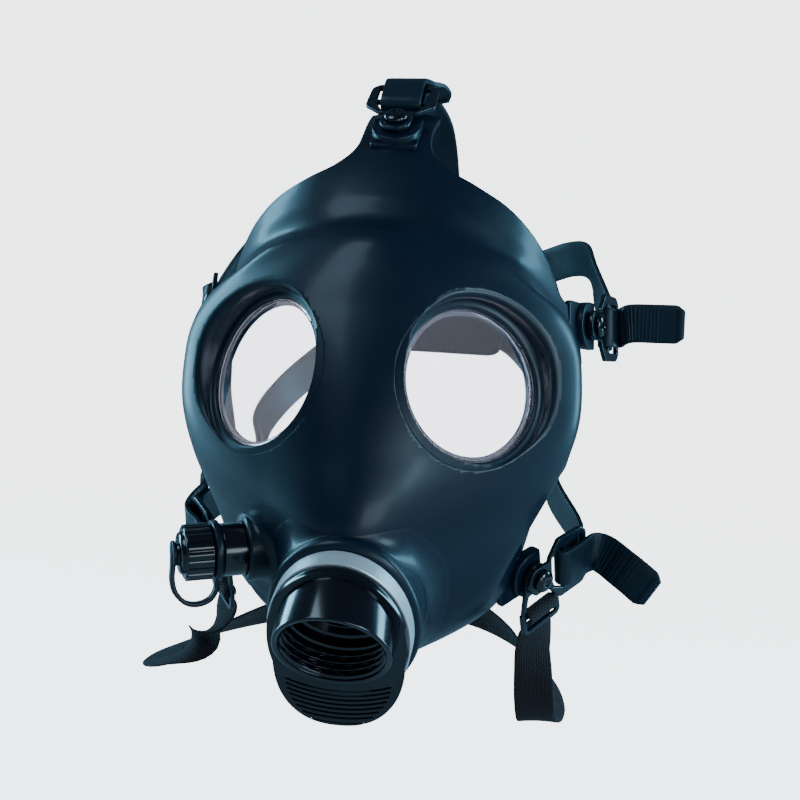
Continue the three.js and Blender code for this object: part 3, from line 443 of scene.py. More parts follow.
def prism(name, outline, low, high, basis):
    """A prism over a flat outline; the basis gives the outline's two directions and the prism's own."""
    flat = np.asarray(outline, float)
    n = len(flat)
    ends = []
    for level in (low, high):
        lift = level * np.asarray(basis[2], float)
        ends.append(flat[:, :1] * basis[0] + flat[:, 1:] * basis[1] + lift)
    faces = [(i, (i + 1) % n, n + (i + 1) % n, n + i) for i in range(n)]
    faces += [tuple(reversed(range(n))), tuple(range(n, 2 * n))]
    return closed(mesh_object(name, np.vstack(ends), faces))


def boss(name, place, back, front):
    """The rubber tongue and the half-round boss on it that carry a stud."""
    radius = BOSS["radius"]
    outline = arc(radius, 180, 360, 25) + [(radius, radius * 0.55), (-radius, radius * 0.55)]
    raised = moulded_plate(name, outline, [], -BOSS["height"] - 1, 0, place, 0.6)
    half = radius * 0.96
    tongue = softened([(-half, -front), (half, -front), (half, back - 3), (half - 3, back),
                       (-half + 3, back), (-half, back - 3)], 2)
    strip = moulded_plate(name + "_tongue", tongue, [], -BOSS["height"] - WALL, -BOSS["height"],
                          place, 0.5)
    return raised, strip


def build_facepiece():
    outer = skin_body("facepiece_rubber", 0, 300, 216)
    surface = surface_of(outer)
    lip = COLLAR["half_wide"]
    mouth_rows = [(0, -26), (NECK_RADIUS + 2.5, -26), (lip - 0.3, -7), (lip, -5.4),
                  (lip + 0.35, -4.2), (lip + 0.45, -2.8),
                  (lip + 0.1, -1.4), (lip - 0.8, -0.4), (lip - 1.9, -0.05), (NECK_RADIUS, -0.1),
                  (NECK_RADIUS, COLLAR["neck"]),
                  (0, COLLAR["neck"])]
    additions = [
        fillet_skirt("mouth_skirt", surface, MOUTH, lip - 0.3, 7, -5.6, 128, STRETCH),
        turned("mouth_collar", mouth_rows, 128, MOUTH, STRETCH),
        fillet_skirt("port_skirt", surface, SIDE_PORT, PORT["lip"] - 0.1, 5, PORT["lip_length"] - 1.6,
                     72),
        disc("port_lip", PORT["lip"], -12, PORT["lip_length"], 72, SIDE_PORT, 1.1),
    ]
    for other in additions:
        joined(outer, other, "UNION")
    inner = skin_body("inside", WALL, 120, 90)
    floor = -LENS["thick"] - GAP
    for side in (1, -1):
        bucket = disc("bucket", LENS["recess"] + WALL, floor - LENS["seat"], 30, 64, lens_seat(side),
                      1.2)
        joined(inner, bucket, "DIFFERENCE")
    shell = joined(outer, inner, "DIFFERENCE")
    right = rounded_path([(a * HALF_WIDTH, u * HALF_WIDTH) for a, u in FLANGE_OUTLINE], 90)
    right = np.vstack([right, [(1.1 * HALF_WIDTH, -1.8 * HALF_WIDTH)]])
    front = np.vstack([right, (right * (-1, 1))[::-1]])
    joined(shell, prism("front_view", front, -2.5 * HALF_WIDTH, 0.1 * HALF_WIDTH,
                        ((1, 0, 0), (0, 0, 1), (0, 1, 0))), "INTERSECT")
    back = rounded_path([(b * HALF_WIDTH, u * HALF_WIDTH) for b, u in SIDE_OUTLINE], 80)
    side_view = np.vstack([back, [(-2.5 * HALF_WIDTH, -1.9 * HALF_WIDTH),
                                  (-2.5 * HALF_WIDTH, 1.4 * HALF_WIDTH)]])
    joined(shell, prism("side_view", side_view, -1.3 * HALF_WIDTH, 1.3 * HALF_WIDTH,
                        ((0, 1, 0), (0, 0, 1), (1, 0, 0))), "INTERSECT")
    for side in (1, -1):
        joined(shell, recess_cutter("recess", surface, lens_seat(side), 144), "DIFFERENCE")
    joined(shell, turned("mouth_bore", [(0, -40), (NECK_RADIUS - WALL, -40), (NECK_RADIUS - WALL, 30),
                                        (0, 30)], 96, MOUTH, STRETCH), "DIFFERENCE")
    port_hole = PORT["bore"] + WALL + GAP
    joined(shell, turned("port_bore", [(0, -30), (port_hole, -30), (port_hole, 30), (0, 30)], 64,
                         SIDE_PORT), "DIFFERENCE")
    sizes = {"top": (14, 10), "temple_left": (9, 17), "temple_right": (9, 17), "cheek_left": (9, 16),
             "cheek_right": (9, 16)}
    for name, (rear, ahead) in sizes.items():
        for part in boss(f"boss_{name}", BOSSES[name], rear, ahead):
            joined(shell, part, "UNION")
    return shell


# Materials
def principled(name, colour, rough, metal=0.0):
    material = bpy.data.materials.new(name)
    material.use_nodes = True
    shader = material.node_tree.nodes["Principled BSDF"]
    shader.inputs["Base Color"].default_value = (*colour, 1)
    shader.inputs["Roughness"].default_value = rough
    shader.inputs["Metallic"].default_value = metal
    return material, shader


def group_sockets(tree, inputs, outputs):
    for name, kind, value in inputs:
        item = tree.interface.new_socket(name, in_out="INPUT", socket_type=kind)
        item.default_value = value
    for name, kind in outputs:
        tree.interface.new_socket(name, in_out="OUTPUT", socket_type=kind)
    return tree.nodes.new("NodeGroupInput"), tree.nodes.new("NodeGroupOutput")


def maths(tree, operation, a, b=None, c=None):
    node = tree.nodes.new("ShaderNodeMath")
    node.operation = operation
    for socket, value in zip(node.inputs, (a, b, c)):
        if value is None:
            continue
        if isinstance(value, (int, float)):
            socket.default_value = value
        else:
            tree.links.new(value, socket)
    return node.outputs[0]


def noise(tree, vector, scale, detail=3.0, rough=0.5):
    node = tree.nodes.new("ShaderNodeTexNoise")
    node.inputs["Detail"].default_value = detail
    node.inputs["Roughness"].default_value = rough
    if isinstance(scale, (int, float)):
        node.inputs["Scale"].default_value = scale
    else:
        tree.links.new(scale, node.inputs["Scale"])
    tree.links.new(vector, node.inputs["Vector"])
    return node.outputs["Fac"]


def mixed(tree, mask, first, second):
    node = tree.nodes.new("ShaderNodeMix")
    node.data_type = "RGBA"
    tree.links.new(mask, node.inputs["Factor"])
    for socket, value in ((node.inputs[6], first), (node.inputs[7], second)):
        if isinstance(value, tuple):
            socket.default_value = (*value, 1)
        else:
            tree.links.new(value, socket)
    return node.outputs[2]


def build_handled_surface():
    """Cloudy shade, uneven gloss and a fine moulded grain."""
    tree = bpy.data.node_groups.new("handled_surface", "ShaderNodeTree")
    given, result = group_sockets(
        tree,
        [("Dark", "NodeSocketColor", (0.01, 0.01, 0.01, 1)),
         ("Light", "NodeSocketColor", (0.02, 0.02, 0.02, 1)),
         ("Gloss", "NodeSocketFloat", 0.4), ("Unevenness", "NodeSocketFloat", 0.1),
         ("Cloud Size", "NodeSocketFloat", 30.0),
         ("Grain Size", "NodeSocketFloat", 900.0)],
        [("Color", "NodeSocketColor"), ("Roughness", "NodeSocketFloat"), ("Height", "NodeSocketFloat")])
    where = tree.nodes.new("ShaderNodeTexCoord").outputs["Object"]
    cloud = noise(tree, where, given.outputs["Cloud Size"], 4.0, 0.6)
    grain = noise(tree, where, given.outputs["Grain Size"], 2.0, 0.5)
    smear = noise(tree, where, 95.0, 5.0, 0.7)
    tree.links.new(mixed(tree, cloud, given.outputs["Dark"], given.outputs["Light"]),
                   result.inputs["Color"])
    swing = maths(tree, "MULTIPLY", maths(tree, "SUBTRACT", smear, 0.5), given.outputs["Unevenness"])
    tree.links.new(maths(tree, "ADD", given.outputs["Gloss"], swing), result.inputs["Roughness"])
    tree.links.new(maths(tree, "ADD", maths(tree, "MULTIPLY", grain, 0.6),
                         maths(tree, "MULTIPLY", smear, 0.4)), result.inputs["Height"])
    return tree


def build_weave():
    """Plain weave of flat webbing, from the strip's own measure in millimetres."""
    tree = bpy.data.node_groups.new("weave", "ShaderNodeTree")
    given, result = group_sockets(
        tree,
        [("Across", "NodeSocketFloat", 1.1), ("Along", "NodeSocketFloat", 1.4)],
        [("Height", "NodeSocketFloat"), ("Thread", "NodeSocketFloat")])
    measure = tree.nodes.new("ShaderNodeUVMap")
    measure.uv_map = "strip"
    parts = tree.nodes.new("ShaderNodeSeparateXYZ")
    tree.links.new(measure.outputs["UV"], parts.inputs[0])
    u = maths(tree, "DIVIDE", parts.outputs["X"], given.outputs["Across"])
    v = maths(tree, "DIVIDE", parts.outputs["Y"], given.outputs["Along"])
    warp = maths(tree, "ABSOLUTE", maths(tree, "SINE", maths(tree, "MULTIPLY", u, math.pi)))
    shift = maths(tree, "MULTIPLY", maths(tree, "FLOOR", u), 0.5)
    weft = maths(tree, "ABSOLUTE", maths(tree, "SINE",
                                         maths(tree, "MULTIPLY", maths(tree, "ADD", v, shift),
                                               math.pi)))
    tree.links.new(maths(tree, "MULTIPLY", warp, weft), result.inputs["Height"])
    tree.links.new(weft, result.inputs["Thread"])
    return tree


HANDLED = build_handled_surface()
WEAVE = build_weave()


def finished(name, dark, light, gloss, uneven, cloud, grain, bump, distance=0.0002, **constant):
    """A material with the shared surface group and its own values."""
    material, shader = principled(name, dark, gloss)
    tree = material.node_tree
    group = tree.nodes.new("ShaderNodeGroup")
    group.node_tree = HANDLED
    group.inputs["Dark"].default_value = (*dark, 1)
    group.inputs["Light"].default_value = (*light, 1)
    for key, value in (("Gloss", gloss), ("Unevenness", uneven), ("Cloud Size", cloud),
                       ("Grain Size", grain)):
        group.inputs[key].default_value = value
    relief = tree.nodes.new("ShaderNodeBump")
    relief.inputs["Strength"].default_value = bump
    relief.inputs["Distance"].default_value = distance
    tree.links.new(group.outputs["Color"], shader.inputs["Base Color"])
    tree.links.new(group.outputs["Roughness"], shader.inputs["Roughness"])
    tree.links.new(group.outputs["Height"], relief.inputs["Height"])
    tree.links.new(relief.outputs["Normal"], shader.inputs["Normal"])
    for key, value in constant.items():
        shader.inputs[key.replace("_", " ")].default_value = value
    return material


MATERIALS = {
    "moulded_rubber": finished("satin_black_rubber", (0.0014, 0.0055, 0.0135),
                               (0.0026, 0.0105, 0.0245), 0.4, 0.14, 22, 1300, 0.12,
                               Specular_IOR_Level=0.3, Coat_Weight=0.16, Coat_Roughness=0.16),
    "strap_rubber": finished("black_strap_rubber", (0.0048, 0.012, 0.02), (0.008, 0.0195, 0.032),
                             0.42, 0.18, 60, 1500, 0.18,
                             Specular_IOR_Level=0.36),
    "gloss_plastic": finished("glossy_black_plastic", (0.002, 0.0019, 0.0046),
                              (0.0036, 0.0034, 0.0082), 0.16, 0.09, 45, 1800, 0.04,
                              Coat_Weight=0.3, Coat_Roughness=0.1),
    "buckle_plastic": finished("black_buckle_plastic", (0.003, 0.008, 0.0145), (0.005, 0.013, 0.023),
                               0.22, 0.12, 70, 1700, 0.08),
    "steel_band": finished("bright_steel", (0.82, 0.84, 0.87), (0.92, 0.93, 0.95), 0.34, 0.14, 120,
                           700, 0.05, Metallic=0.6),
}


def build_webbing():
    material, shader = principled("woven_webbing", (0.02, 0.015, 0.019), 0.85)
    tree = material.node_tree
    weave = tree.nodes.new("ShaderNodeGroup")
    weave.node_tree = WEAVE
    relief = tree.nodes.new("ShaderNodeBump")
    relief.inputs["Strength"].default_value = 0.7
    relief.inputs["Distance"].default_value = 0.0004
    tree.links.new(weave.outputs["Height"], relief.inputs["Height"])
    tree.links.new(relief.outputs["Normal"], shader.inputs["Normal"])
    tree.links.new(mixed(tree, weave.outputs["Thread"], (0.0075, 0.005, 0.007),
                         (0.021, 0.0145, 0.0185)), shader.inputs["Base Color"])
    shader.inputs["Sheen Weight"].default_value = 0.08
    shader.inputs["Specular IOR Level"].default_value = 0.25
    return material


def build_clear_lens():
    material, shader = principled("clear_lens", (0.93, 0.91, 0.99), 0.02)
    shader.inputs["Transmission Weight"].default_value = 1
    shader.inputs["IOR"].default_value = 1.33
    tree = material.node_tree
    where = tree.nodes.new("ShaderNodeTexCoord").outputs["Object"]
    relief = tree.nodes.new("ShaderNodeBump")
    relief.inputs["Strength"].default_value = 0.03
    relief.inputs["Distance"].default_value = 0.0001
    tree.links.new(noise(tree, where, 40.0), relief.inputs["Height"])
    tree.links.new(relief.outputs["Normal"], shader.inputs["Normal"])
    return material


MATERIALS["webbing"] = build_webbing()
MATERIALS["clear_lens"] = build_clear_lens()


def dress(piece, slot, *nodes, angle=32):
    """Gives a finished piece its material and its place on the object."""
    piece.data.transform(Matrix.Scale(MM, 4))
    piece.data.materials.clear()
    piece.data.materials.append(MATERIALS[slot])
    for face in piece.data.polygons:
        face.use_smooth = True
        face.material_index = 0
    piece.data.set_sharp_from_angle(angle=math.radians(angle))
    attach(piece, "root")
    if nodes:
        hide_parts(*nodes)
    return piece


# What repeats is laid out by Geometry Nodes
def repeat_tree(name, inputs):
    tree = bpy.data.node_groups.new(name, "GeometryNodeTree")
    tree.interface.new_socket("Geometry", in_out="INPUT", socket_type="NodeSocketGeometry")
    for label, kind, value in inputs:
        tree.interface.new_socket(label, in_out="INPUT", socket_type=kind).default_value = value
    tree.interface.new_socket("Geometry", in_out="OUTPUT", socket_type="NodeSocketGeometry")
    return tree, tree.nodes.new("NodeGroupInput"), tree.nodes.new("NodeGroupOutput")


def grown(piece, tree, **values):
    """Runs a tree on the piece, with its inputs set by name, and bakes the result."""
    step = piece.modifiers.new(tree.name, "NODES")
    step.node_group = tree
    for item in tree.interface.items_tree:
        if item.item_type == "SOCKET" and item.in_out == "INPUT" and item.name in values:
            step[item.identifier] = values[item.name]
    return bake(piece)


def build_bars_tree():
    """A rounded bar on every point, turned and sized by the point's own attributes."""
    tree, given, result = repeat_tree("bars_on_points",
                                      [("Segments", "NodeSocketInt", 8),
                                       ("Material", "NodeSocketMaterial", None)])
    bar = tree.nodes.new("GeometryNodeMeshCylinder")
    bar.inputs["Radius"].default_value = 0.5
    bar.inputs["Depth"].default_value = 1
    tree.links.new(given.outputs["Segments"], bar.inputs["Vertices"])
    lay = tree.nodes.new("GeometryNodeInstanceOnPoints")
    tree.links.new(given.outputs["Geometry"], lay.inputs["Points"])
    tree.links.new(bar.outputs["Mesh"], lay.inputs["Instance"])
    for name, socket in (("turn", "Rotation"), ("size", "Scale")):
        read = tree.nodes.new("GeometryNodeInputNamedAttribute")
        read.data_type = "FLOAT_VECTOR"
        read.inputs["Name"].default_value = name
        source = next(s for s in read.outputs if s.enabled)
        if name == "turn":
            convert = tree.nodes.new("FunctionNodeEulerToRotation")
            tree.links.new(source, convert.inputs[0])
            source = convert.outputs[0]
        tree.links.new(source, lay.inputs[socket])
    real = tree.nodes.new("GeometryNodeRealizeInstances")
    paint = tree.nodes.new("GeometryNodeSetMaterial")
    tree.links.new(lay.outputs["Instances"], real.inputs[0])
    tree.links.new(real.outputs[0], paint.inputs["Geometry"])
    tree.links.new(given.outputs["Material"], paint.inputs["Material"])
    tree.links.new(paint.outputs[0], result.inputs[0])
    return tree


BARS = build_bars_tree()


def bars(name, places, slot, segments=8):
    """Rounded bars: each place gives its centre, three axes (thin, thick, long) and three sizes."""
    points = [p["centre"] for p in places]
    piece = mesh_object(name, points, [])
    for label, values in (("turn", [Matrix(np.array(p["axes"]).T.tolist()).to_euler()
                                    for p in places]), ("size", [p["size"] for p in places])):
        layer = piece.data.attributes.new(label, "FLOAT_VECTOR", "POINT")
        layer.data.foreach_set("vector", [float(c) for v in values for c in v])
    return grown(piece, BARS, Segments=segments, Material=MATERIALS[slot])


# Strips: straps, webbing and the tether
def catmull(points, per_span):
    """The curve through the stations, with its tangents; the same rule as the solids follow."""
    points = np.asarray(points, float)
    more = np.vstack([2 * points[0] - points[1], points, 2 * points[-1] - points[-2]])
    places, tangents = [], []
    spans = len(points) - 1
    for k in range(spans):
        p0, p1, p2, p3 = more[k:k + 4]
        d0, d1, d2 = (max(np.linalg.norm(b - a), 1e-4) ** 0.5
                      for a, b in ((p0, p1), (p1, p2), (p2, p3)))
        t1 = ((p1 - p0) / d0 - (p2 - p0) / (d0 + d1) + (p2 - p1) / d1) * d1
        t2 = ((p2 - p1) / d1 - (p3 - p1) / (d1 + d2) + (p3 - p2) / d2) * d1
        for i in range(per_span + (k == spans - 1)):
            t = i / per_span
            c2, c3 = -3 * p1 + 3 * p2 - 2 * t1 - t2, 2 * p1 - 2 * p2 + t1 + t2
            places.append(p1 + t1 * t + c2 * t * t + c3 * t ** 3)
            tangents.append(unit(t1 + 2 * c2 * t + 3 * c3 * t * t))
    return np.array(places), np.array(tangents)


def strip_frames(stations, per_span):
    places, tangents = catmull([s[0] for s in stations], per_span)
    given = [np.asarray(stations[0][1], float)]
    for _, wide in stations[1:]:
        given.append(np.asarray(wide, float) * (-1 if given[-1].dot(wide) < 0 else 1))
    wides = []
    for i, tangent in enumerate(tangents):
        k = min(i // per_span, len(stations) - 2)
        t = i / per_span - k
        wide = given[k] * (1 - t) + given[k + 1] * t
        wides.append(unit(wide - tangent * wide.dot(tangent)))
    wides = np.array(wides)
    return {"place": places, "tangent": tangents, "wide": wides, "thin": np.cross(tangents, wides),
            "length": np.r_[0, np.cumsum(np.linalg.norm(np.diff(places, axis=0), axis=1))]}


def strip(name, frames, width, thick, soft=0.4, narrow=None):
    """A flat strip with rounded edges along its frames, with its own measure in millimetres."""
    corner = min(soft, thick * 0.45)
    section = []
    for sx, sy, start in ((1, 1, 0), (-1, 1, 90), (-1, -1, 180), (1, -1, 270)):
        section += [(sx * (width / 2 - corner) + x, sy * (thick / 2 - corner) + y)
                    for x, y in arc(corner, start, start + 90, 4)]
        if sy > 0 and sx > 0 or sy < 0 and sx < 0:
            edge = width / 2 - corner
            for share in (0.6, 0.2, -0.2, -0.6):
                section.append((share * edge * sx, sy * thick / 2))
    section = np.array(section)
    count = len(frames["place"])
    scale = np.ones(count) if narrow is None else narrow
    rings = [frames["place"][i] + section[:, :1] * scale[i] * frames["wide"][i]
             + section[:, 1:] * frames["thin"][i] for i in range(count)]
    piece = lofted(name, rings)
    measure = piece.data.uv_layers.new(name="strip")
    n = len(section)
    flat = [(float(section[k % n][0]), float(frames["length"][k // n])) if k < count * n
            else (0.0, float(frames["length"][0 if k == count * n else -1]))
            for k in range(count * n + 2)]
    for loop in piece.data.loops:
        measure.data[loop.index].uv = flat[loop.vertex_index]
    return piece


def head_station(bearing, height, lift):
    a, full = math.radians(bearing), HEAD["fullness"]
    share = abs(height) / HEAD["half_height"]
    k = (1 - share ** full) ** (1 / full)
    x, y = HEAD["half_width"] * k * math.sin(a), -HEAD["half_depth"] * k * math.cos(a)
    rise = math.copysign(share ** (full - 1), height) / HEAD["half_height"]
    out = unit((x / k / HEAD["half_width"] ** 2, y / k / HEAD["half_depth"] ** 2, rise))
    return np.array((x, y, height)) + out * lift, out


def head_run(rows):
    raw = [head_station(*row) for row in rows]
    return [(place, unit(np.cross(raw[min(i + 1, len(raw) - 1)][0] - raw[max(i - 1, 0)][0], out)))
            for i, (place, out) in enumerate(raw)]


def on_pad(height):
    away = (height - PAD["middle"]) ** 2 / (2 * HEAD["half_height"])
    return PAD["lift"] + (PAD["thick"] + STRAP_THICK) / 2 + 0.8 + away


ON_HEAD = STRAP_THICK / 2 + 0.8
WRAP = STRAP_THICK / 2 + BUCKLE["bar"] / 2 + 1


def turn_stations(place, low, tail):
    """The strap's turn round the buckle's middle bar, from the head side to the free side."""
    z, bar = low + BUCKLE["thick"] / 2, BUCKLE["mid_bar"]
    rows = [(30, -WRAP - 0.8), (22, -WRAP - 0.4), (bar, -WRAP)]
    rows += [(bar - WRAP * math.cos(math.radians(a)), WRAP * math.sin(math.radians(a)))
             for a in (-50, -15, 15, 50)]
    rows += [(bar, WRAP), (17, WRAP), (tail, WRAP + 0.2)]
    return [(put(place, [(0, y, z + dz)])[0], place[:3, 0]) for y, dz in rows]


STRAPS = {
    "top": {
        "tail": 27,
        "run": [(180, 40, on_pad(40)), (180, 52, on_pad(52)), (180, 66, ON_HEAD), (180, 84, ON_HEAD),
                (180, 100, ON_HEAD), (180, 110, ON_HEAD)],
        "free": [((2, -42, 117), (1, 0, 0.1)), ((6, -33, 117), (1, 0, 0)),
                 ((9, -25, 112), (1, 0.2, -0.1))]},
    "temple_left": {
        "tail": 20,
        "run": [(166, 42, on_pad(42)), (156, 43, on_pad(43)), (140, 48, ON_HEAD), (122, 52, ON_HEAD),
                (106, 50, ON_HEAD), (96, 42, ON_HEAD)],
        "free": [((97, -19, 22.4), (0, 0, 1)), ((109, -22, 23), (0, 0, 1)),
                 ((120, -25, 23.2), (0, 0, 1))]},
    "temple_right": {
        "tail": 28,
        "run": [(-166, 42, on_pad(42)), (-156, 43, on_pad(43)), (-140, 48, ON_HEAD),
                (-122, 52, ON_HEAD), (-106, 50, ON_HEAD), (-96, 42, ON_HEAD)],
        "free": [((-92.5, 2, 22.6), (0, 0, 1)), ((-94, 14, 22.8), (0, 0, 1)),
                 ((-94, 26, 23), (0, 0, 1))]},
    "cheek_left": {
        "tail": 20,
        "run": [(166, 18, on_pad(18)), (156, 14, on_pad(14)), (140, -2, ON_HEAD), (124, -20, ON_HEAD),
                (108, -36, -3), (96, -52, -10)],
        "free": [((90, -37, -74), (0.3, 0, 1)), ((102, -43, -80), (0.4, 0, 1)),
                 ((114, -49, -88), (0.5, 0, 1))]},
    "cheek_right": {
        "tail": 28,
        "run": [(-166, 18, on_pad(18)), (-156, 14, on_pad(14)), (-140, -2, ON_HEAD),
                (-124, -20, ON_HEAD), (-108, -36, -3), (-96, -52, -10)],
        "free": [((-84, -26, -66), (0, 0, 1)), ((-88, -14, -63), (0, 0, 1)),
                 ((-90, -2, -62), (0, 0, 1))]},
}


def frame_axes(frames, i):
    """Axes of a bar that lies across the strip at one of its frames."""
    return (frames["tangent"][i], -frames["thin"][i], frames["wide"][i])


def build_strap(name, rule):
    low = CHEEK_HOOK_LOW if name.startswith("cheek") else HOOK_LOW
    stations = head_run(rule["run"]) + turn_stations(BOSSES[name], low, rule["tail"])
    stations += [(p, unit(w)) for p, w in rule["free"]]
    frames = strip_frames(stations, 8)
    left = frames["length"][-1] - frames["length"]
    narrow = np.where(left < 3.2, 0.72 + 0.28 * left / 3.2, 1.0)
    piece = strip(f"strap_{name}_rubber", frames, STRAP_WIDTH, STRAP_THICK, 0.45, narrow)
    places = []
    for back in np.arange(12, 31, 1.5):
        i = int(np.argmin(np.abs(left - back)))
        for side in (1, -1):
            centre = frames["place"][i] + frames["thin"][i] * side * STRAP_THICK / 2
            places.append({"centre": centre, "axes": frame_axes(frames, i),
                           "size": (0.8, 0.5, STRAP_WIDTH * 0.9)})
    i = int(np.argmin(np.abs(left - 1.6)))
    for side in (1, -1):
        centre = frames["place"][i] + frames["thin"][i] * side * STRAP_THICK * 0.5
        places.append({"centre": centre, "axes": frame_axes(frames, i),
                       "size": (2.4, 1.4, STRAP_WIDTH * 0.74)})
    merged(piece, bars(f"ribs_{name}", places, "strap_rubber"))
    return dress(piece, "strap_rubber", f"strap_{name}")


def build_stud(name):
    hooks = 2 if name.startswith("cheek") else 1
    neck_end = hooks * (BUCKLE["thick"] + 0.4) + 1.6
    head, thick = STUD["head"], STUD["head_thick"]
    rows = [(0, GAP), (STUD["foot"], GAP), (STUD["foot"], GAP + 0.7), (STUD["neck"] + 0.3, GAP + 0.9),
            (STUD["neck"], GAP + 1.4),
            (STUD["neck"], neck_end - 0.3), (head - 0.4, neck_end), (head, neck_end + 0.4),
            (head, neck_end + 1), (head - 0.5, neck_end + 1.6),
            (head - 1.6, neck_end + thick - 0.2), (head - 2.2, neck_end + thick),
            (1.6, neck_end + thick - 0.05), (1.2, neck_end + thick - 0.5), (0, neck_end + thick - 0.6)]
    return dress(turned(f"stud_{name}_knob", rows, 40, BOSSES[name]), "gloss_plastic", f"stud_{name}",
                 angle=50)


def window(from_y, to_y, near, far):
    return softened([(-near, from_y), (-far, to_y), (far, to_y), (near, from_y)], 0.7)


def build_buckle(name):
    low = CHEEK_HOOK_LOW if name.startswith("cheek") else HOOK_LOW
    half, length, hook, wide, bar, mid = (BUCKLE[k]
                                          for k in ("half_wide", "length", "hook", "window", "bar",
                                                    "mid_bar"))
    outline = arc(hook, 207, 333, 17) + [(hook + 0.5, 5), (half, 11), (half - 0.6, length - 3),
                                         (half - 3.4, length),
                                         (-half + 3.4, length), (-half + 0.6, length - 3),
                                         (-half, 11), (-hook - 0.5, 5)]
    outline = arc(hook, 207, 333, 17) + softened(outline[17:], 1.2)
    holes = [arc(STUD["neck"] + GAP, 360, 15, 24), window(6.6, mid - bar / 2, wide - 3.5, wide),
             window(mid + bar / 2, length - 2.6, wide, wide)]
    plate = moulded_plate(f"buckle_{name}_frame", outline, holes, low, low + BUCKLE["thick"],
                          BOSSES[name], 0.4)
    return dress(plate, "buckle_plastic", f"buckle_{name}", angle=40)


def build_neck_frame(side):
    half, length, hook, wide, bar, mid, shoulder = (NECK_FRAME[k]
                                                    for k in ("half_wide", "length", "hook", "window",
                                                              "bar", "mid_bar", "shoulder"))
    rest = softened([(half, shoulder), (half, length - 2), (half - 2, length), (-half + 2, length),
                     (-half, length - 2), (-half, shoulder)], 1)
    holes = [arc(STUD["neck"] + GAP, 360, 15, 24), window(6.4, mid - bar / 2, wide - 3, wide),
             window(mid + bar / 2, length - bar, wide, wide)]
    plate = moulded_plate(f"neck_frame_{side}_plate", arc(hook, 198, 342, 17) + rest, holes, HOOK_LOW,
                          HOOK_LOW + NECK_FRAME["thick"], frame_seat(side), 0.35)
    return dress(plate, "buckle_plastic", f"neck_frame_{side}", angle=40)


def web_turn(side):
    place = frame_seat(side)
    middle = HOOK_LOW + NECK_FRAME["thick"] / 2
    radius = WEB["thick"] / 2 + NECK_FRAME["thick"] / 2 + 0.6
    bar, end = NECK_FRAME["mid_bar"], NECK_FRAME["length"] - NECK_FRAME["bar"] / 2
    rows = [(bar + 2, -radius), (bar, -radius)]
    rows += [(bar - radius * math.cos(math.radians(a)), radius * math.sin(math.radians(a)))
             for a in (-50, 0, 50)]
    rows += [(bar, radius), (bar + 2.4, radius - 0.2), (bar + 4, -0.6), (end - 1, -radius - 0.3),
             (end + 4, -radius - 0.4)]
    return [(put(place, [(0, y, middle + dz)])[0], place[:3, 0]) for y, dz in rows]


NECK_ROUTE = [
    ((66, -39, -116), (0.75, 0.55, 0.1)), ((67, -42, -127), (0.95, 0.3, 0)),
    ((68, -43, -138), (1, 0.1, 0)), ((69, -38, -146), (1, 0.1, 0.1)),
    ((71, -26, -148), (1, 0.2, -0.1)), ((72, -6, -145), (0.9, 0, -0.4)),
    ((67, 18, -138), (0.8, 0.3, -0.6)), ((52, 46, -128), (0.5, 0.4, -0.8)),
    ((28, 66, -120), (0.3, 0.3, -0.9)), ((0, 73, -117), (0, 0.3, -1)),
    ((-30, 70, -119), (-0.3, 0.3, -0.9)), ((-62, 58, -125), (-0.5, 0.4, -0.8)),
    ((-90, 36, -134), (-0.7, 0.4, -0.5)), ((-105, 12, -141), (-0.9, 0.1, -0.3)),
    ((-104, -10, -142), (-0.8, -0.5, -0.2)),
    ((-92, -24, -136), (-0.6, -0.5, -0.5)), ((-80, -32, -127), (-0.3, 0.3, -0.9)),
    ((-71, -35, -116), (-0.55, 0.6, -0.3)),
]


def build_neck_strap():
    stations = web_turn("left") + [(p, unit(w)) for p, w in NECK_ROUTE] + web_turn("right")[::-1]
    frames = strip_frames(stations, 7)
    return dress(strip("neck_strap_webbing", frames, WEB["width"], WEB["thick"], 0.5), "webbing",
                 "neck_strap", angle=60)


# Mouth: steel band and valve housing
def chin_body(name, shrink, sides, low):
    """The chin below the socket: a squared oval that widens forward, cut off by the slotted face."""
    start = COLLAR["neck"] + GAP + CHIN["start"]
    angles = np.arange(sides) * 2 * math.pi / sides
    power = 2 / CHIN["fullness"]
    cos, sin = (np.sign(part) * np.abs(part) ** power for part in (np.cos(angles), np.sin(angles)))
    rings = []
    for forward in np.linspace(low, start + CHIN["length"], 10):
        wide = NECK_RADIUS + GAP - CHIN["margin"] + CHIN["flare_wide"] * (forward - start) - shrink
        tall = (NECK_RADIUS + GAP) * STRETCH - CHIN["margin"] + CHIN["flare_tall"] * (forward
                                                                                      - start) - shrink
        rings.append(put(MOUTH, np.stack([wide * cos, tall * sin, np.full(sides, forward)], 1)))
    return joined(lofted(name, rings), half_space("face", FACE, -shrink), "DIFFERENCE")


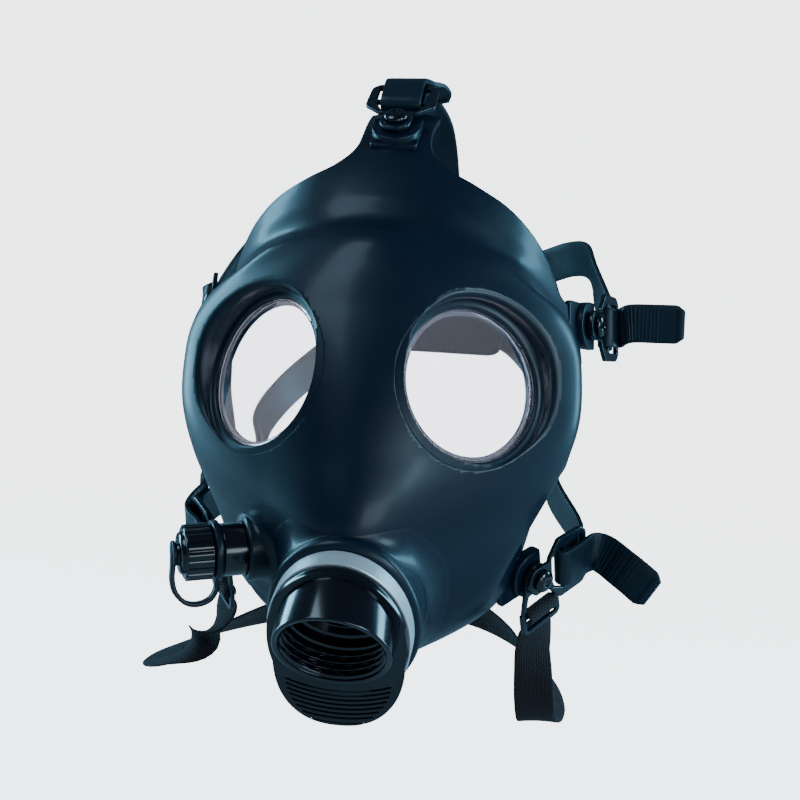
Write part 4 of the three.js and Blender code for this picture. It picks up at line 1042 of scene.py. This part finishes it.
def threaded_bore():
    """The socket's bore: a helical thread at the mouth, then smooth down to the gasket ledge."""
    sides = 120
    angles = np.arange(sides) * 2 * math.pi / sides
    rings = [ring_at(RIM, 1, 3, angles), ring_at(RIM, SOCKET["bore"] + 0.9, 3, angles),
             ring_at(RIM, SOCKET["bore"] + 0.9, 0.02, angles)]
    for z in np.linspace(-0.5, -SOCKET["thread"] - 1.5, 84):
        phase = (z / SOCKET["pitch"] + angles / (2 * math.pi)) * 2 * math.pi
        ridge = np.clip(0.5 + 0.85 * np.cos(phase), 0, 1)
        fade = min(1, max(0, (-z - 1) / 1.2)) * min(1, max(0, (SOCKET["thread"] + z) / 1.2))
        rings.append(ring_at(RIM, SOCKET["bore"] + 0.1 - SOCKET["root"] * ridge * fade, z, angles))
    floor = -SOCKET["length"] + 1.5
    for r, z in ((SOCKET["bore"] - 0.6, -SOCKET["thread"] - 2.2), (SOCKET["bore"] - 0.9, floor + 0.8),
                 (SOCKET["bore"] - 1.7, floor),
                 (SOCKET["ledge"] + 0.3, floor), (SOCKET["ledge"], floor - 0.3),
                 (SOCKET["ledge"], -SOCKET["length"] - 14), (1, -SOCKET["length"] - 14)):
        rings.append(ring_at(RIM, r, z, angles))
    return lofted("threaded_bore", rings)


def half_space(name, place, level, ahead=True):
    """A large block on one side of a plane, to trim with."""
    low, high = (level, 200) if ahead else (-200, level)
    return turned(name, [(0, low), (150, low), (150, high), (0, high)], 24, place)


def combined(tree, x, y, z):
    node = tree.nodes.new("ShaderNodeCombineXYZ")
    for socket, value in zip(node.inputs, (x, y, z)):
        if isinstance(value, (int, float)):
            socket.default_value = value
        else:
            tree.links.new(value, socket)
    return node.outputs[0]


def build_slots_tree():
    """Bent slot cutters in a row, each as long and as deep as the round face allows."""
    tree, given, result = repeat_tree("grille_slots", [
        ("Count", "NodeSocketInt", 8), ("Pitch", "NodeSocketFloat", 1.8),
        ("First", "NodeSocketFloat", 3.5), ("Half Wide", "NodeSocketFloat", 20.0),
        ("Tip", "NodeSocketFloat", 14.6), ("Cut", "NodeSocketFloat", 0.75),
        ("Depth", "NodeSocketFloat", 3.0), ("Lowest", "NodeSocketFloat", 17.0),
        ("Underside", "NodeSocketFloat", 0.4), ("Bend", "NodeSocketFloat", 62.0),
        ("Material", "NodeSocketMaterial", None)])
    index = tree.nodes.new("GeometryNodeInputIndex").outputs[0]
    below = maths(tree, "MULTIPLY", index, given.outputs["Pitch"])
    down = maths(tree, "ADD", given.outputs["First"], below)
    depth = maths(tree, "MINIMUM", given.outputs["Depth"],
                  maths(tree, "MULTIPLY", maths(tree, "SUBTRACT", given.outputs["Lowest"], down),
                        given.outputs["Underside"]))
    share = maths(tree, "DIVIDE", below, given.outputs["Tip"])
    chord = maths(tree, "SQRT", maths(tree, "SUBTRACT", 1.0, maths(tree, "MULTIPLY", share, share)))
    long = maths(tree, "MULTIPLY", maths(tree, "MULTIPLY", chord, given.outputs["Half Wide"]), 2.0)
    line = tree.nodes.new("GeometryNodeMeshLine")
    tree.links.new(given.outputs["Count"], line.inputs["Count"])
    row = tree.nodes.new("GeometryNodeSetPosition")
    tree.links.new(line.outputs["Mesh"], row.inputs["Geometry"])
    middle = maths(tree, "MULTIPLY", maths(tree, "SUBTRACT", 1.0, depth), 0.5)
    tree.links.new(combined(tree, 0.0, maths(tree, "MULTIPLY", down, -1.0), middle),
                   row.inputs["Position"])
    bar = tree.nodes.new("GeometryNodeMeshCube")
    bar.inputs["Vertices X"].default_value = 13
    lay = tree.nodes.new("GeometryNodeInstanceOnPoints")
    tree.links.new(row.outputs["Geometry"], lay.inputs["Points"])
    tree.links.new(bar.outputs["Mesh"], lay.inputs["Instance"])
    tree.links.new(combined(tree, long, given.outputs["Cut"], maths(tree, "ADD", depth, 1.0)),
                   lay.inputs["Scale"])
    real = tree.nodes.new("GeometryNodeRealizeInstances")
    tree.links.new(lay.outputs[0], real.inputs[0])
    parts = tree.nodes.new("ShaderNodeSeparateXYZ")
    tree.links.new(tree.nodes.new("GeometryNodeInputPosition").outputs[0], parts.inputs[0])
    radius = given.outputs["Bend"]
    inside = maths(tree, "SUBTRACT", maths(tree, "MULTIPLY", radius, radius),
                   maths(tree, "MULTIPLY", parts.outputs["X"], parts.outputs["X"]))
    rise = maths(tree, "SUBTRACT", radius, maths(tree, "SQRT", inside))
    bent = tree.nodes.new("GeometryNodeSetPosition")
    tree.links.new(real.outputs[0], bent.inputs["Geometry"])
    tree.links.new(combined(tree, 0.0, rise, 0.0), bent.inputs["Offset"])
    paint = tree.nodes.new("GeometryNodeSetMaterial")
    tree.links.new(bent.outputs[0], paint.inputs["Geometry"])
    tree.links.new(given.outputs["Material"], paint.inputs["Material"])
    tree.links.new(paint.outputs[0], result.inputs[0])
    return tree


def build_valve_housing():
    plug = NECK_RADIUS - WALL - GAP
    front = COLLAR["neck"] + GAP
    end = front + HOUSING["flange"]
    lip = NECK_RADIUS + GAP
    deep, wall = HOUSING["plug"], HOUSING["wall"]
    rows = [(0, -deep), (plug, -deep), (plug, front), (lip - 0.2, front), (lip + 0.3, front + 0.3),
            (lip + 0.5, front + 0.9),
            (lip + 0.4, front + 1.6), (lip + 0.1, front + 2.4), (lip, end), (0, end)]
    housing = turned("valve_housing_shell", rows, 128, MOUTH, STRETCH)
    joined(housing, bevelled(chin_body("chin", 0, 160, front + CHIN["start"]), 0.7), "UNION")
    outer = SOCKET["outer"]
    tube = turned("tube", [(0, -SOCKET["length"]), (outer, -SOCKET["length"])] + round_off(outer, 0,
            0.8, 5) + [(0, 0)], 128, RIM)
    joined(housing, joined(tube, half_space("ahead", MOUTH, front + 1), "INTERSECT"), "UNION")
    hole = plug - wall
    hollow = turned("hollow", [(0, -deep - 1), (hole, -deep - 1), (hole, end - 1.2), (0, end - 1.2)],
                    64, MOUTH, STRETCH)
    joined(hollow, chin_body("chamber", wall, 64, front + wall / 2), "UNION")
    guard = turned("guard", [(0, -SOCKET["length"]), (outer + 0.2, -SOCKET["length"]),
                             (outer + 0.2, 40), (0, 40)], 64, RIM)
    joined(housing, joined(hollow, guard, "DIFFERENCE"), "DIFFERENCE")
    joined(housing, turned("before_rim", [(0, 0.01), (outer + 0.04, 0.01), (outer + 0.04, 40),
                                          (0, 40)], 128, RIM), "DIFFERENCE")
    inside = turned("inside_plug", [(0, -deep - 1), (hole, -deep - 1), (hole, front + 1),
                                    (0, front + 1)], 64, MOUTH, STRETCH)
    joined(housing, joined(threaded_bore(), half_space("ahead", MOUTH, front + 0.6), "INTERSECT"),
           "DIFFERENCE")
    joined(housing, joined(threaded_bore(), inside, "INTERSECT"), "DIFFERENCE")
    sizes = {label: float(GRILLE[key])
             for label, key in (("Pitch", "pitch"), ("First", "first"), ("Half Wide", "half_wide"), ("Tip", "tip"),
                                                          ("Cut", "cut"), ("Depth", "depth"),
                                                          ("Lowest", "lowest"),
                                                          ("Underside", "underside"), ("Bend", "bend"))}
    slots = grown(mesh_object("slots", [(0, 0, 0)], []), build_slots_tree(), Count=GRILLE["slots"],
                  Material=MATERIALS["gloss_plastic"], **sizes)
    slots.data.transform(Matrix(FACE.tolist()))
    joined(housing, slots, "DIFFERENCE")
    return dress(housing, "gloss_plastic", "valve_housing", angle=38)


def build_mouth_clamp():
    inner, thick = NECK_RADIUS + GAP, BAND["thick"]
    low, high = GAP, GAP + BAND["length"]
    rows = [(inner, low), (inner + thick - 0.25, low), (inner + thick, low + 0.25),
            (inner + thick, high - 0.25), (inner + thick - 0.25, high), (inner, high)]
    return dress(turned("mouth_clamp_band", rows, 144, MOUTH, STRETCH, loop=True), "steel_band",
                 "mouth_clamp")


# Side port
def build_port():
    body, bore, lip = PORT["body"], PORT["bore"], PORT["lip_length"] + GAP
    rows = [(0, PORT["length"])] + round_off(body, PORT["length"], 0.8)[::-1] + [(body, lip + 0.4),
            (body - 0.4, lip), (bore + WALL, lip), (bore + WALL, -14),
            (bore, -14), (bore, PORT["length"] - 2), (0, PORT["length"] - 2)]
    dress(turned("port_body_tube", rows, 72, SIDE_PORT), "gloss_plastic", "port_body")

    start = PORT["length"] + GAP + TETHER["width"] + GAP
    end = start + PORT["cap_length"]
    cap = PORT["cap"] - 0.9
    rows = [(0, PORT["length"] + GAP), (body - 3, PORT["length"] + GAP), (body - 3, start),
            (cap - 0.4, start), (cap, start + 0.4)] + round_off(cap, end, 0.7)
    rows += [(8.6, end), (8.4, end + 0.3), (8.2, end + 1.2), (7.6, end + 1.6), (5, end + 1.9),
             (4.6, end + 2.6), (0, end + 2.6)]
    drum = turned("port_cap_drum", rows, 72, SIDE_PORT)
    places = []
    for k in range(20):
        a = 2 * math.pi * k / 20
        radial = np.array((math.cos(a), math.sin(a), 0))
        middle = put(SIDE_PORT, [radial * (cap - 0.2) + (0, 0, (start + end) / 2)])[0]
        turn = SIDE_PORT[:3, :3]
        axes = (turn @ np.array((math.sin(a), -math.cos(a), 0)), turn @ radial,
                turn @ np.array((0, 0, 1)))
        places.append({"centre": middle, "axes": axes, "size": (2.9, 1.8, PORT["cap_length"] - 1.2)})
    merged(drum, bars("cap_ribs", places, "gloss_plastic", 10))
    dress(drum, "gloss_plastic", "port_cap")

    low, high = PORT["length"] + GAP, PORT["length"] + GAP + TETHER["width"]
    hole, rim = body - 2.5, body + 1.6
    rows = [(hole, low), (rim - 0.7, low), (rim - 0.2, low + 0.3), (rim, low + 0.9),
            (rim, high - 0.9), (rim - 0.2, high - 0.3), (rim - 0.7, high), (hole, high)]
    ring = turned("port_tether_loop", rows, 72, SIDE_PORT, loop=True)
    tip, mid, under = end + 2.6 + GAP, (low + high) / 2, -body - 1.2
    drop = TETHER["drop"]
    path = [(mid, under + 0.6), (mid + 0.3, under - 3.6), (mid + 2.8, under - drop + 1.6),
            (mid + 7.2, under - drop), (tip - 3.4, under - drop + 0.8),
            (tip + 0.6, under - 3.6), (tip + 1.7, under + 1.6), (tip + 1.2, under + 7),
            (tip + 0.7, 4.5)]
    stations = [(put(SIDE_PORT, [(0, y, z)])[0], SIDE_PORT[:3, 0]) for z, y in path]
    loop = strip("loop", strip_frames(stations, 8), TETHER["width"] + 1.2, TETHER["thick"] + 0.5, 0.5)
    eye = disc("eye", 5.2, tip, tip + TETHER["thick"], 40, SIDE_PORT, 0.5)
    joined(ring, loop, "UNION")
    joined(ring, eye, "UNION")
    dress(ring, "moulded_rubber", "port_tether")


def build_back_pad():
    frames = strip_frames(head_run([(b, PAD["middle"], PAD["lift"])
                                    for b in (-158, -169, -180, -191, -202)]), 10)
    ends = np.minimum(frames["length"], frames["length"][-1] - frames["length"])
    narrow = np.where(ends < 8, 0.82 + 0.18 * np.sqrt(1 - (1 - np.minimum(ends, 8) / 8) ** 2), 1.0)
    dress(strip("back_pad_rubber", frames, PAD["height"], PAD["thick"], 0.8, narrow), "strap_rubber",
          "back_pad")


def build_lenses():
    for name, side in (("lens_left", 1), ("lens_right", -1)):
        radius, thick = LENS["radius"], LENS["thick"]
        rows = [(0, -thick), (radius - 0.3, -thick), (radius, -thick + 0.3), (radius, -0.4),
                (radius - 0.4, 0), (0, 0)]
        dress(turned(f"{name}_pane", rows, 128, lens_seat(side)), "clear_lens", name, angle=25)


# The camera, the floor and the studio
CAMERA = {"turn": 8.8, "dip": 2.0, "roll": 3.5, "across": 4.0, "down": 17.0, "distance": 750.0,
          "focal": 75.375}


def set_camera():
    a, e, roll = (math.radians(CAMERA[k]) for k in ("turn", "dip", "roll"))
    forward = np.array((-math.sin(a) * math.cos(e), math.cos(a) * math.cos(e), -math.sin(e)))
    right = np.array((math.cos(a), math.sin(a), 0))
    up = np.cross(right, forward)
    right, up = right * math.cos(roll) + up * math.sin(roll), up * math.cos(roll) - right * math.sin(roll)
    eye = -CAMERA["distance"] * forward - CAMERA["across"] * right - CAMERA["down"] * up
    lens = bpy.data.cameras.new("photo_camera")
    lens.sensor_width = 36
    lens.lens = CAMERA["focal"]
    lens.clip_start = 0.01
    camera = bpy.data.objects.new("photo_camera", lens)
    place = np.eye(4)
    place[:3, 0], place[:3, 1], place[:3, 2], place[:3, 3] = right, up, -forward, eye * MM
    camera.matrix_world = Matrix(place.tolist())
    bpy.context.scene.collection.objects.link(camera)
    bpy.context.scene.camera = camera


def soft_box(name, place, target, size, power, colour):
    light = bpy.data.lights.new(name, "AREA")
    light.shape = "RECTANGLE"
    light.size, light.size_y = size
    light.energy = power
    light.color = colour
    box = bpy.data.objects.new(name, light)
    box.location = place
    box.rotation_euler = (Vector(target) - Vector(place)).to_track_quat("-Z", "Y").to_euler()
    bpy.context.scene.collection.objects.link(box)


def seen_directly(tree):
    """Whether a thing is looked at straight or through the clear panes, and not in a reflection."""
    path = tree.nodes.new("ShaderNodeLightPath")
    return maths(tree, "MAXIMUM", path.outputs["Is Camera Ray"], path.outputs["Is Transmission Ray"])


PALE = (3.6, 3.72, 3.82)
DIM = (0.06, 0.1, 0.14)


def set_studio():
    floor = mesh_object("floor", np.array([(-9, -9, 0), (9, -9, 0), (9, 9, 0), (-9, 9, 0)]) + (0, 0,
            -0.24), [(0, 1, 2, 3)])
    material, shader = principled("pale_floor", (0.5, 0.51, 0.53), 0.8)
    tree = material.node_tree
    cloud = noise(tree, tree.nodes.new("ShaderNodeTexCoord").outputs["Object"], 1.5)
    tree.links.new(mixed(tree, cloud, (0.48, 0.49, 0.51), (0.52, 0.53, 0.55)),
                   shader.inputs["Base Color"])
    rest = tuple(pale - 0.5 * dim for pale, dim in zip(PALE, DIM))
    tree.links.new(mixed(tree, seen_directly(tree), (0.0, 0.0, 0.0), rest),
                   shader.inputs["Emission Color"])
    shader.inputs["Emission Strength"].default_value = 1
    floor.data.materials.append(material)
    world = bpy.data.worlds.new("studio")
    world.use_nodes = True
    bpy.context.scene.world = world
    back = world.node_tree.nodes["Background"]
    tree = world.node_tree
    tree.links.new(mixed(tree, seen_directly(tree), DIM, PALE), back.inputs["Color"])
    back.inputs["Strength"].default_value = 1
    soft_box("key_high_left", (-0.9, -1.1, 1.3), (0, -0.05, 0), (0.9, 0.9), 12, (0.55, 0.8, 1.0))
    soft_box("rim_left", (-1.25, 0.45, 0.25), (0, -0.05, -0.02), (0.3, 1.3), 20, (0.3, 0.72, 1.0))
    soft_box("rim_right", (1.25, 0.45, 0.2), (0, -0.05, -0.02), (0.3, 1.3), 20, (0.3, 0.72, 1.0))
    soft_box("fill_low_right", (0.8, -1.2, -0.05), (0, -0.05, -0.05), (0.6, 0.4), 4, (0.7, 0.88, 1.0))
    soft_box("fill_right", (1.2, -0.75, 0.35), (0.08, -0.03, -0.03), (0.4, 0.5), 9, (0.5, 0.8, 1.0))


set_camera()
dress(build_facepiece(), "moulded_rubber", "facepiece", angle=40)
build_lenses()
build_mouth_clamp()
build_valve_housing()
build_port()
for knob in BOSSES:
    build_stud(knob)
    build_buckle(knob)
    build_strap(knob, STRAPS[knob])
build_back_pad()
for cheek_side in ("left", "right"):
    build_neck_frame(cheek_side)
build_neck_strap()
set_studio()
